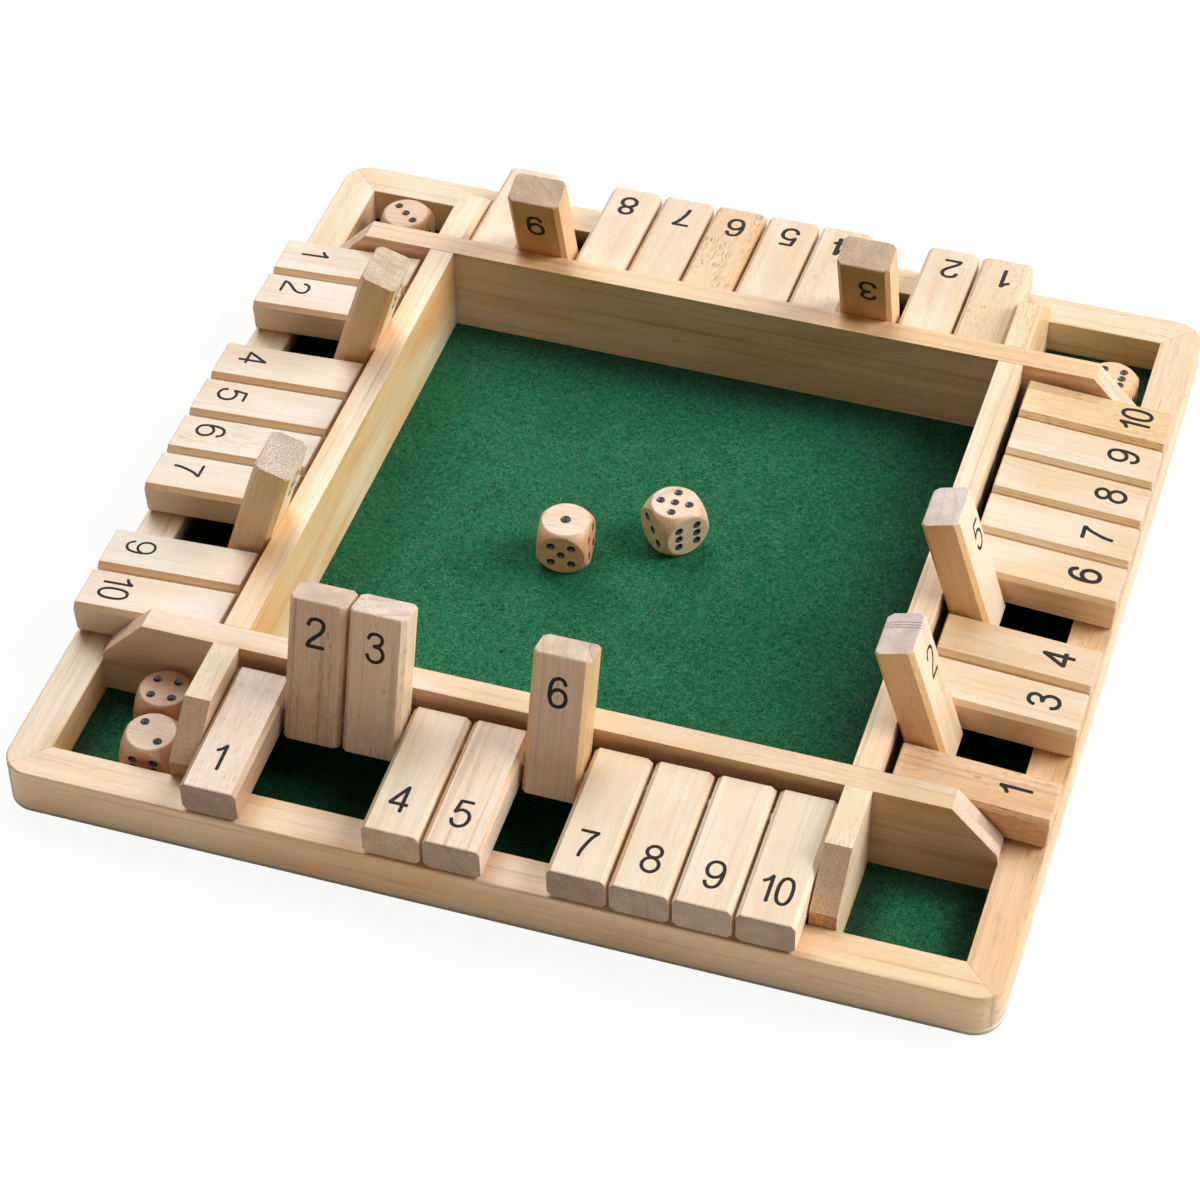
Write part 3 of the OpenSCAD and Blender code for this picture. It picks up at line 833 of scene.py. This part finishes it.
def make_felt_sheet(material):
    """The felt is one sheet that covers the whole floor inside the rails, so its height is a slow
    wave of a tenth of a millimetre: one sine across times one along, each bent by the other."""
    line = np.linspace(-FELT_HALF, FELT_HALF, FELT_ROWS)
    x, y = np.meshgrid(line, line)
    swell = SWELL * np.sin(x / 9.7 + 1.3 * np.sin(y / 17.0)) * np.sin(y / 8.3 + 1.1 * np.sin(x / 21.0))
    points = np.stack([x, y, FELT_TOP - SWELL + swell], -1).reshape(-1, 3)
    sheet = skin("felt_sheet", points, grid_faces(FELT_ROWS, FELT_ROWS), material)
    thick = sheet.modifiers.new("thickness", "SOLIDIFY")
    thick.thickness = FELT_THICK / 1000
    thick.offset = -1.0
    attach(sheet, "box")
    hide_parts("felt")


def make_felt_fibres(hair, dice):
    """Loose fibres lie on the felt: each is a ribbon 0.12 to 0.2 mm wide along an arc 0.9 to 2.6 mm
    long, lifted in the middle. The arc's points are the running sum of short steps, each turned a
    little from the last."""
    random = np.random.default_rng(41)
    zones = [(-FIBRES_IN_TRAY, FIBRES_IN_TRAY, -FIBRES_IN_TRAY, FIBRES_IN_TRAY, TRAY_FIBRES)]
    for sx in (-1, 1):
        for sy in (-1, 1):
            zones.append((*sorted(sx * edge for edge in FIBRES_IN_BOX),
                          *sorted(sy * edge for edge in FIBRES_IN_BOX), BOX_FIBRES))
    spots = np.concatenate([
        np.stack([random.uniform(a, b, n), random.uniform(c, d, n)], -1) for a, b, c, d, n in zones])
    for centre in dice:
        spots = spots[np.linalg.norm(spots - centre[None, :2], axis=1) > CLEAR_OF_DIE]
    n = len(spots)
    heading = random.uniform(0, 2 * np.pi, n)
    bend = random.normal(0, 0.9, n)
    length = random.uniform(0.9, 2.6, n)
    lift = random.uniform(0.04, 0.16, n)
    half = random.uniform(0.06, 0.1, n)[:, None]
    t = np.linspace(-0.5, 0.5, 4)
    angle = heading[:, None] + bend[:, None] * t
    step = np.diff(t)[0] * length[:, None]
    px = np.cumsum(np.cos(angle) * step, 1) + spots[:, :1]
    py = np.cumsum(np.sin(angle) * step, 1) + spots[:, 1:]
    pz = FELT_TOP + 0.01 + lift[:, None] * (1 - (2 * t) ** 2)
    left = np.stack([px - np.sin(angle) * half, py + np.cos(angle) * half, pz], -1)
    right = np.stack([px + np.sin(angle) * half, py - np.cos(angle) * half, pz], -1)
    ribbon = np.stack([right, left], 2).reshape(-1, 3)
    one = np.array([[2 * k, 2 * k + 2, 2 * k + 3, 2 * k + 1] for k in range(3)])
    faces = (one[None] + 8 * np.arange(n)[:, None, None]).reshape(-1, 4).tolist()
    fibres = skin("felt_fibres", ribbon, faces, hair)
    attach(fibres, "box")


# ---------------------------------------------------------------- numbers on the tiles


def through(points, steps=9):
    """A smooth curve through a few points: between two of them it is the cubic whose slopes follow
    the points on either side."""
    p = np.array(points, float)
    q = np.concatenate([2 * p[:1] - p[1:2], p, 2 * p[-1:] - p[-2:-1]])
    t = np.linspace(0, 1, steps, endpoint=False)[None, :, None]
    a, b, c, d = q[:-3, None], q[1:-2, None], q[2:-1, None], q[3:, None]
    curve = 0.5 * (2 * b + (c - a) * t + (2 * a - 5 * b + 4 * c - d) * t ** 2
                   + (3 * b - a - 3 * c + d) * t ** 3)
    return np.concatenate([curve.reshape(-1, 2), p[-1:]])


def straight(x0, y0, x1, y1, steps=8):
    """Points along a straight stroke."""
    t = np.linspace(0, 1, steps)[:, None]
    return np.array([[x0, y0]]) * (1 - t) + np.array([[x1, y1]]) * t


def oval(x, y, half_w, half_h, power=2.0, steps=48):
    """Points round a closed oval, squarer where the power is over 2."""
    a = np.linspace(0, 2 * np.pi, steps, endpoint=False)
    c, s = np.cos(a), np.sin(a)
    return np.stack([x + half_w * np.sign(c) * np.abs(c) ** (2 / power),
                     y + half_h * np.sign(s) * np.abs(s) ** (2 / power)], -1)


SIX = [(2.05, 2.75), (1.35, 4.1), (0.05, 4.55), (-1.55, 3.75), (-2.35, 1.6), (-2.45, -1.5),
       (-1.75, -3.85), (0.0, -4.6), (1.75, -3.8), (2.42, -1.75), (1.75, 0.2), (0.1, 0.95),
       (-1.55, 0.2), (-2.35, -1.3)]


def strokes_of(number):
    """The centre lines of a number in plain sans-serif figures about 10 mm high, as (points,
    closed)."""
    if number == 1:
        return [(straight(0.5, 4.45, 0.5, -4.6), False),
                (through([(0.5, 4.45), (-0.45, 3.1), (-1.75, 2.2)]), False)]
    if number == 2:
        bowl = [(-2.35, 2.3), (-1.7, 3.9), (0.05, 4.55), (1.8, 3.9), (2.35, 2.3), (1.65, 0.5),
                (-0.1, -1.35), (-1.75, -3.0), (-2.4, -4.5)]
        return [(through(bowl), False), (straight(-2.4, -4.55, 2.5, -4.55), False)]
    if number == 3:
        upper = [(-2.3, 2.75), (-1.6, 4.05), (-0.15, 4.55), (1.4, 4.0), (1.95, 2.65), (1.3, 1.15),
                 (-0.5, 0.5)]
        lower = [(-0.5, 0.5), (1.4, 0.05), (2.4, -1.9), (1.65, -3.9), (-0.15, -4.6), (-1.8, -3.95),
                 (-2.45, -2.5)]
        return [(through(upper), False), (through(lower), False)]
    if number == 4:
        return [(straight(1.25, 4.45, 1.25, -4.6), False), (straight(1.25, 4.45, -2.5, -1.95), False),
                (straight(-2.55, -2.0, 2.6, -2.0), False)]
    if number == 5:
        bowl = [(-2.2, 0.25), (-1.25, 1.1), (0.1, 1.4), (1.8, 0.55), (2.45, -1.5), (1.7, -3.7),
                (-0.1, -4.6), (-1.8, -3.95), (-2.45, -2.35)]
        return [(straight(-1.55, 4.5, 2.05, 4.5), False), (straight(-1.55, 4.5, -2.2, 0.25), False),
                (through(bowl), False)]
    if number == 6:
        return [(through(SIX), False)]
    if number == 7:
        leg = [(2.45, 4.4), (1.1, 2.5), (0.05, -0.1), (-0.65, -2.4), (-0.95, -4.6)]
        return [(straight(-2.45, 4.45, 2.45, 4.45), False), (through(leg), False)]
    if number == 8:
        return [(oval(0.0, 2.55, 2.1, 2.0), True), (oval(0.0, -2.1, 2.42, 2.5), True)]
    if number == 9:
        return [(-through(SIX), False)]
    return [(straight(-2.1, 4.45, -2.1, -4.6), False),
            (through([(-2.1, 4.45), (-3.05, 3.1), (-4.35, 2.2)]), False),
            (oval(2.25, 0.0, 2.1, 4.58, power=2.35), True)]


def ribbon_of(path, closed, half, height):
    """Rows of five points across a stroke, carried along its centre line: a low pillow whose sides
    go down into the wood. An open stroke narrows to a blunt, rounded end."""
    ahead = np.roll(path, -1, 0) - np.roll(path, 1, 0)
    if not closed:
        ahead[0], ahead[-1] = path[1] - path[0], path[-1] - path[-2]
    ahead /= np.linalg.norm(ahead, axis=1)[:, None] + 1e-9
    widths = np.full(len(path), half)
    if not closed:
        nose = half * np.array([0.62, 0.5, 0.25])
        first = path[0] - ahead[0] * nose[:, None]
        last = path[-1] + ahead[-1] * nose[::-1, None]
        path = np.concatenate([first, path, last])
        ahead = np.concatenate([np.repeat(ahead[:1], 3, 0), ahead, np.repeat(ahead[-1:], 3, 0)])
        narrow = half * np.array([0.05, 0.62, 0.92])
        widths = np.concatenate([narrow, widths, narrow[::-1]])
    side = np.stack([-ahead[:, 1], ahead[:, 0]], -1)
    across = np.array([-1.0, -0.9, 0.0, 0.9, 1.0])
    rise = np.array([-0.05, height * 0.8, height, height * 0.8, -0.05])
    flat = path[:, None, :] + side[:, None, :] * (across[None, :, None] * widths[:, None, None])
    return with_heights(flat, rise)


# Where each row's numbers are printed on the top faces: across the tile, and from its outer end,
# with a drift along the row. Underneath they stand this far from the end
NUMBER_ACROSS = (-0.4, 0.8, -0.2, -1.7)
NUMBER_FROM_END = (12.3, 11.8, 10.1, 10.9)
NUMBER_DRIFT = 0.11
UNDER_FROM_END = 10.95

# How far each number sits from its row's place, across and along its tile
PRINTED_OFF = {
    ("front", 1): (-0.1, -0.4), ("front", 4): (0.3, 0.5), ("front", 5): (0.1, -0.2),
    ("front", 7): (0.1, -0.3), ("front", 8): (0.2, 0.3), ("front", 10): (0.8, -0.5),
    ("right", 2): (0.0, 0.3), ("right", 3): (-0.2, 0.0), ("right", 4): (-0.4, -0.4),
    ("right", 5): (0.9, 0.5), ("right", 6): (-0.4, 0.0), ("right", 7): (-0.4, 0.0),
    ("right", 8): (-0.2, 0.2), ("right", 9): (0.1, -0.4),
    ("back", 1): (-0.4, -0.3), ("back", 2): (-0.6, -0.2), ("back", 3): (-1.3, 1.6),
    ("back", 5): (-0.6, -0.4), ("back", 6): (-0.4, 0.5), ("back", 7): (-0.3, 0.6),
    ("back", 8): (0.7, -0.2), ("back", 9): (0.0, 1.8),
    ("left", 1): (0.3, 0.1), ("left", 2): (-0.3, 0.4), ("left", 5): (0.6, 0.0),
    ("left", 6): (0.0, 0.4), ("left", 7): (0.3, -0.1), ("left", 9): (0.5, -0.1),
    ("left", 10): (0.8, 0.2)}

# Where single numbers are printed: across the top face, and across and from the end underneath
TOP_ASIDE = {("front", 4): -1.2, ("front", 5): -0.7, ("front", 7): -0.6, ("front", 8): 0.3,
             ("front", 9): 0.3}
UNDER_AT = {("front", 2): (0.1, 10.0), ("front", 3): (0.0, 10.6), ("front", 6): (-0.1, 11.75),
            ("right", 2): (2.0, 12.1), ("right", 5): (2.0, 13.2)}

# Half the width of a stroke in each row, and on single tiles
STROKE_HALF = (0.6, 0.7, 0.73, 0.54)
STROKE_OF = {("front", 2): 0.66, ("front", 4): 0.64, ("front", 6): 0.65, ("right", 2): 0.5,
             ("right", 5): 0.54, ("right", 6): 0.8, ("right", 4): 0.76, ("back", 4): 0.86,
             ("left", 9): 0.46}

# The height of the ink on the wood, and how much more each further stroke of a number has
INK_UP = 0.02
STROKE_UP = 0.004


def number_mesh(number, half, top_at, under_at):
    """Points and faces of one tile's two printed numbers, in the tile's own frame: one on the top,
    its foot towards the outer end, and one underneath that reads upright when the tile is raised."""
    points, faces = [], []
    for (x0, y0), under in ((top_at, False), (under_at, True)):
        for k, (path, closed) in enumerate(strokes_of(number)):
            rows = ribbon_of(path, closed, half, INK_UP + STROKE_UP * k)
            flat = rows.reshape(-1, 3)
            if under:
                flat = flat * (1, -1, -1) + (x0, y0, -TILE_THICK / 2)
            else:
                flat = flat + (x0, y0, TILE_THICK / 2)
            faces += grid_faces(rows.shape[0], rows.shape[1], sum(len(p) for p in points),
                                wrap_rows=closed)
            points.append(flat)
    return np.concatenate(points), faces


def make_numbers(joints, material):
    """A printed number on both faces of each tile, each with its own small offset."""
    random = np.random.default_rng(12)
    for side, name in enumerate(SIDES):
        for n in range(1, 11):
            tile = f"tile_{name}_{n}"
            wobble = random.uniform(-0.3, 0.3, 4)
            foot = TILE_TAIL - NUMBER_FROM_END[side] + NUMBER_DRIFT * (n - 5.5)
            half = STROKE_OF.get((name, n), STROKE_HALF[side])
            off = PRINTED_OFF.get((name, n), (0.0, 0.0))
            aside = TOP_ASIDE.get((name, n), NUMBER_ACROSS[side] + wobble[0])
            under = UNDER_AT.get((name, n), (wobble[2], UNDER_FROM_END + wobble[3]))
            top_at = (aside + off[0], off[1] + wobble[1] - foot)
            under_at = (under[0] + off[0], under[1] + off[1] - TILE_TAIL)
            points, faces = number_mesh(n, half, top_at, under_at)
            turn, place = tile_frame(joints[tile], side)
            ink = skin("number_" + tile[5:], points @ turn.T + place, faces, material)
            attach(ink, tile)


# ---------------------------------------------------------------- pips in the dice

PIP_RINGS = 6
PIP_AROUND = 28
ENAMEL_THICK = 0.03


def cup(px, py, width):
    """The paint in one pip: rings of a sphere's cap, from its deepest point out to the rim, and the
    deepest point by itself."""
    ball = (width ** 2 / 4 + PIP_DEEP ** 2) / (2 * PIP_DEEP)
    centre = DIE_WIDE / 2 + ball - PIP_DEEP
    rim = math.acos((ball - PIP_DEEP) / ball)
    down = np.linspace(0.0, 1.0, PIP_RINGS) * rim
    a = np.linspace(0, 2 * np.pi, PIP_AROUND, endpoint=False)
    r = (ball - ENAMEL_THICK) * np.sin(down)[:, None]
    z = centre - (ball - ENAMEL_THICK) * np.cos(down)[:, None]
    points = np.stack([px * PIP_PITCH + r * np.cos(a), py * PIP_PITCH + r * np.sin(a),
                       np.broadcast_to(z, (PIP_RINGS, PIP_AROUND))], -1)
    return points[1:].reshape(-1, 3), points[0, 0]


def make_pips(dice, material):
    """Twenty-one painted cups for each die, turned from the top face to the face they belong to."""
    to_front = about_x(QUARTER_TURN)
    for i, centre in enumerate(dice):
        top, front, right = DIE_FACES[i]
        faces_of_die = (
            (top, np.eye(3)), (front, to_front), (right, about_z(QUARTER_TURN) @ to_front),
            (7 - front, about_z(2 * QUARTER_TURN) @ to_front),
            (7 - right, about_z(3 * QUARTER_TURN) @ to_front), (7 - top, about_x(2 * QUARTER_TURN)))
        points, faces, start = [], [], 0
        for number, turn in faces_of_die:
            for px, py in PIPS[number - 1]:
                rings, pole = cup(px, py, ONE_PIP_WIDE if number == 1 else PIP_WIDE)
                points.append(np.concatenate([rings, pole[None]]) @ turn.T)
                faces += grid_faces(PIP_RINGS - 1, PIP_AROUND, start, wrap_columns=True)
                end = start + len(rings)
                faces += [[start + k, start + (k + 1) % PIP_AROUND, end] for k in range(PIP_AROUND)]
                start = end + 1
        whole = np.concatenate(points) @ about_z(math.radians(DIE_TURNS[i])).T + centre
        pips = skin(f"pips_die_{i + 1}", whole, faces, material)
        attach(pips, f"die_{i + 1}")


# ---------------------------------------------------------------- wood for each piece


def tile_frame(joint, side):
    """A tile's turn and place: it turns about its rod's axis, and lies lowered or stands raised."""
    angle = RAISED if joint["range_deg"][0] < 0 else LOWERED
    return about_z(side * QUARTER_TURN) @ about_x(angle), np.array(joint["pos_m"]) * 1000


# The wood of each rail, each wall and each row of tiles, in timber()'s own terms. The left rail's
# tint in the corner boxes and the bands of the front and back walls are warm tints painted against
# the green light that the felt throws on them; the front and right walls' outer faces in the bays
# carry painted shade, and the front wall's faces in the corner boxes carry painted light in the left
# one and painted shade in the right one
RAIL_LOOKS = {
    "front": dict(pale="#FFE6C2", warm="#F7CE98", sides=("#FBF8F6", 1, 0.5, 0.7)),
    "right": dict(pale="#F6D8B6", warm="#EDC28F", fleck=0.85, pore=8.0),
    "back": dict(pale="#F1DBBB", warm="#E9C797"),
    "left": dict(pale="#F5E3C9", warm="#ECD0A6", box_light_tint="#FFEBD3")}
WALL_LOOKS = {
    "front": dict(pale="#F5DFC2", warm="#EBCB9F", end="#F4E1D1", end_from=0.6, painted_shade=(0.35, 27.5),
                  tinted_band=("#FFF2EA", 0, 1, 33.9), cap="#FDF6F5",
                  box_face_light_and_shade=(("#FFF3E6", 0.45), (PAINTED_SHADE_BROWN, 0.2))),
    "right": dict(pale="#FFECD2", warm="#F9DAB1", end="#E9D6BE", end_from=0.78, painted_shade=(0.7, 27.6)),
    "back": dict(pale="#FCE9DA", warm="#F4D9BD", end="#FBE6CC", end_from=0.6,
                 tinted_band=("#FFF4F0", 0, 1, 33.9), cap="#F7E9CC"),
    "left": dict(pale="#FFEAC5", warm="#FBCF98", end="#E9D6BE", end_from=0.78,
                 tinted_band=("#FBE8CB", 9, 33, 34.1), cap="#F6F8FF")}
ROW_LOOKS = {
    "front": dict(pale="#FDECD7", warm="#F8DDBE"),
    "right": dict(pale="#F6E1C8", warm="#EDCEA8", chamfer="#FFF9E7"),
    "back": dict(pale="#F0DDC6", warm="#E7CAA6"),
    "left": dict(pale="#F4E6D5", warm="#ECD4B6", chamfer="#FBE2C2")}

# Each die's pale and warm wood, its end grain, and the tints of its turned corners and its sides.
# The darker wood of dice 4 and 5 is painted shade, and the tints of the corners and the sides paint
# the light and shade of those faces
DIE_TINTS = (
    ("#F7E3CF", "#EED0B0", "#E4C8A6", "#FFF3E4", "#FFDCC6"),
    ("#F2DECA", "#E9CCAC", "#F2D9BC", "#FFF5E8", "#FFFFFF"),
    ("#F4DAC2", "#E9C8A8", "#E6C6A4", "#F7E6D4", "#FFF0E6"),
    ("#DAB796", "#CDA27C", "#D8BD9C", "#F7E6D4", "#FFF2E8"),
    ("#E2BE9B", "#D8AC82", "#D6B48E", "#FFE6C6", "#F1E6DF"),
    ("#F4D6B0", "#EAC395", "#F0D0A8", "#FFE6C6", "#F3E4D8"))

# What stands out on single tiles: their tone, figure, streaks and pores
TILE_LOOKS = {
    # Tile 1 of the front row: the tints of its long sides and its slopes are painted shade
    ("front", 1): dict(pale="#F6E4D3", warm="#F1D7BD", fleck=0.5, fleck_from=0.64, end="#B5A295",
                       grain_lines=1.5, sides=("#D7C4B3", 2, 0.75, 0.9), chamfer="#DACBB3"),
    ("front", 2): dict(pale="#E9CDB3", streak=0.55, late="#B9885F", rings=0.25, fleck=0.8, fleck_from=0.63,
                       end="#E2CAB4", grain_lines=1.5, warm="#EFD1B2"),
    ("front", 3): dict(pale="#FBE4CB", streak=0.35, fleck=0.7, end="#EDDAC8", warm="#FFE5C5"),
    ("front", 4): dict(pale="#F7E3C8", warm="#EFCFA2"),
    ("front", 5): dict(pale="#F6E2CC", streak=0.35, rings=0.3, fleck=0.35, end="#C0B0A0", grain_lines=1.6,
                       chamfer="#F5E2C8"),
    ("front", 6): dict(pale="#F4DCC2", rings=0.45, ring=3.4, late="#A87A4E", streak=0.2, end="#E2CAB4",
                       sides=("#F6EACB", 2, 0.5, 0.7)),
    ("front", 7): dict(fleck=0.08, end="#B8A698", pale="#FAE5C9", warm="#F5D6B2"),
    ("front", 8): dict(fleck=0.06, end="#C8BBAE", pale="#F8E9CF", warm="#F4DAB7", chamfer="#FAF0E8"),
    ("front", 9): dict(fleck=0.06, streak=0.15, end="#D3C6BA"),
    ("front", 10): dict(fleck=0.08, end="#C8B8AA", rings=0.06, pale="#F8E8CF", warm="#F4D9B7"),
    ("right", 1): dict(pale="#EDC79E", warm="#E0B080", fleck=0.9, fleck_from=0.63, streak=0.35,
                       grain_lines=1.3),
    ("right", 2): dict(pale="#F6E0C4", heart=(0.0, 34.0), ring=1.15, rings=0.95, marked=(36.6, 39.4),
                       late="#B88A45", end="#F2DFD6", end_late="#7E4A42", fleck=0.5, fleck_from=0.62,
                       streak=0.12, sides=("#FFEFD8", 2, 0.5, 0.7), saw=0.6),
    ("right", 4): dict(pale="#ECD0AE", warm="#E3BE8F", grain_lines=1.4),
    ("right", 5): dict(end="#F9EAE0", fleck=0.4, sides=("#FFEFD8", 2, 0.5, 0.7), saw=0.6),
    ("right", 7): dict(rings=0.3, ring=2.2, streak=0.3),
    ("right", 8): dict(rings=0.4, ring=1.9, streak=0.5, fleck=0.3, grain_lines=1.6),
    ("right", 9): dict(rings=0.25, ring=2.4, streak=0.3),
    ("right", 10): dict(fleck=0.85, fleck_from=0.64, streak=0.4, pale="#F6DEBA", warm="#EDCA9A",
                        grain_lines=1.4),
    ("back", 1): dict(pale="#F1D7B5", fleck=0.7, fleck_from=0.65, streak=0.3, warm="#E7C69F"),
    # Tiles 3 and 9 of the back row stand raised: their darker, warmer wood and the tint on their broad
    # faces are painted shade
    ("back", 3): dict(pale="#F2CEA6", warm="#E9BB89", end="#E4C6A8", sides=("#E2CDAF", 1, 0.5, 0.7)),
    ("back", 4): dict(fleck=0.5, fleck_from=0.64),
    ("back", 6): dict(pale="#EFD0AA", warm="#E6BF94", fleck=1.0, fleck_from=0.585, grain_lines=1.6),
    ("back", 7): dict(rings=0.3, ring=4.5, pale="#EBD2B5", warm="#E2C098"),
    # Painted shade, as on tile 3 of the back row
    ("back", 9): dict(pale="#F2CEA6", warm="#E9BB89", end="#E4C6A8", sides=("#E2CDAF", 1, 0.5, 0.7)),
    ("left", 1): dict(fleck=0.2, streak=0.15, rings=0.12, ring=2.2, pale="#FAF0E2", warm="#F2DDC1"),
    ("left", 3): dict(pale="#F7E2C4", warm="#EECDA0", end="#E0CCB2", saw=1.4),
    ("left", 4): dict(grain_lines=1.4, pale="#F8E6CE", warm="#F0D4B0"),
    ("left", 5): dict(rings=0.3, ring=3.6, streak=0.3),
    ("left", 6): dict(fleck=0.5, fleck_from=0.63, grain_lines=1.5),
    ("left", 7): dict(pale="#F0E0CA", warm="#E8CEAD"),
    ("left", 8): dict(pale="#F7E2C4", warm="#EECDA0", end="#E2D0BC", rings=0.03, saw=2.6),
    ("left", 9): dict(rings=0.15, streak=0.12, pale="#FBEDDB", warm="#F3DABB"),
}

# The rounds on edges: on walls, dividers and tiles, on a tile's worn corners, on a die and on the
# base board
EASED = 0.3
WORN_CORNERS = 0.55
DIE_EASED = 0.28
BOARD_EASED = 0.12


def lying(grain):
    """A board's grain, thickness and width directions, with its thickness upright."""
    up = np.array([0.0, 0.0, 1.0])
    return np.stack([grain, up, np.cross(grain, up)])


def dress_frame(shading):
    """Gives the walls and the dividers their own lengths of timber and eases their edges. Returns
    the timber of the four rails."""
    rail_woods = []
    for side, name in enumerate(SIDES):
        along = lying(about_z(side * QUARTER_TURN) @ np.array([1.0, 0.0, 0.0]))
        look = dict(streak=0.3, rings=0.3, ring=4.2, fleck=0.35, painted_bay_shade=True) | RAIL_LOOKS[name]
        rail_woods.append(timber("pine_rail_" + name, along, seed=3 + 7 * side,
                                 heart=(-40.0 + 9 * side, 30.0 + 11 * side), **look))
        look = dict(streak=0.3, rings=0.35, ring=4.6, fleck=0.3, end_late="#B98F66") | WALL_LOOKS[name]
        wall = NODES["wall_" + name]
        wall.data.materials[0] = timber("pine_wall_" + name, along, seed=31 + 5 * side,
                                        heart=(-30.0 - 7 * side, 60.0 + 8 * side), **look)
        ease(wall, EASED, shading)
    NODES["dividers"].data.materials[0] = timber(
        "pine_dividers", lying(np.array([0.0, 1.0, 0.0])), seed=57, pale="#FAE6C7", warm="#F1CF9C",
        fleck=0.5, fleck_from=0.62, end="#CD9F79", heart=(-38.0, 44.0), saw=1.8)
    ease(NODES["dividers"], EASED, shading)
    return rail_woods


def dress_tiles(joints, shading):
    """Gives every tile its own timber, with its heart in a direction and at a distance of its own,
    and eases its edges."""
    random = np.random.default_rng(5)
    for side, name in enumerate(SIDES):
        for n in range(1, 11):
            tile = f"tile_{name}_{n}"
            turn, place = tile_frame(joints[tile], side)
            angle = random.uniform(0, 2 * np.pi)
            away = random.uniform(16, 42)
            look = dict(rings=random.uniform(0.05, 0.25), ring=random.uniform(2.8, 5.0),
                        streak=random.uniform(0.06, 0.2), fleck=random.uniform(0.05, 0.25),
                        heart=(away * math.cos(angle), away * math.sin(angle)))
            look |= ROW_LOOKS[name] | TILE_LOOKS.get((name, n), {})
            NODES[tile].data.materials[0] = timber(
                "pine_" + tile, turn.T[[1, 2, 0]], place, seed=100 + 10 * side + n, **look)
            ease(NODES[tile], EASED, shading, angle=40, corners_mm=WORN_CORNERS)


def dress_dice(dice, shading):
    """Gives every die its own beech and its rounded edges."""
    for i, centre in enumerate(dice):
        die = NODES[f"die_{i + 1}"]
        pale, warm, end, corner_tint, side_tint = DIE_TINTS[i]
        # The side tint is painted shade on the upright faces, and the corner tint paints the light and
        # shade of the turned corners
        die.data.materials[0] = timber(
            f"beech_die_{i + 1}", about_z(math.radians(DIE_TURNS[i])).T, centre, seed=200 + 13 * i,
            pale=pale, warm=warm, late="#C4976C", heart=(-22.0, 9.0 + 3 * i), ring=1.7, rings=0.25,
            streak=0.3, fleck=0.4, grain_lines=1.4, end=end, sides=(side_tint, 2, 0.7, 0.5),
            ball=DIE_WIDE / 2, ball_tint=corner_tint, soft=0.9, rough=0.36)
        ease(die, DIE_EASED, shading, angle=36, flat=False)


def main():
    """Dresses the whole board and sets the studio up."""
    joints = {joint["child"]: joint for joint in frame["joints"]}
    boxes = [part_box(f"die_{i + 1}") for i in range(len(DIE_FACES))]
    dice = [(np.array(low) + np.array(high)) / 2 * 1000 for low, high in boxes]
    shading = smooth_by_angle()
    set_camera()
    set_studio()
    rail_woods = dress_frame(shading)
    dress_tiles(joints, shading)
    dress_dice(dice, shading)
    make_rails(rail_woods)
    make_felt_sheet(needle_felt())
    make_felt_fibres(felt_hair(), dice)
    make_numbers(joints, printed_ink())
    make_pips(dice, gloss_enamel())
    NODES["base_board"].data.materials[0] = fibreboard()
    ease(NODES["base_board"], BOARD_EASED, shading)
    NODES["pivot_rods"].data.materials[0] = drawn_steel()


main()
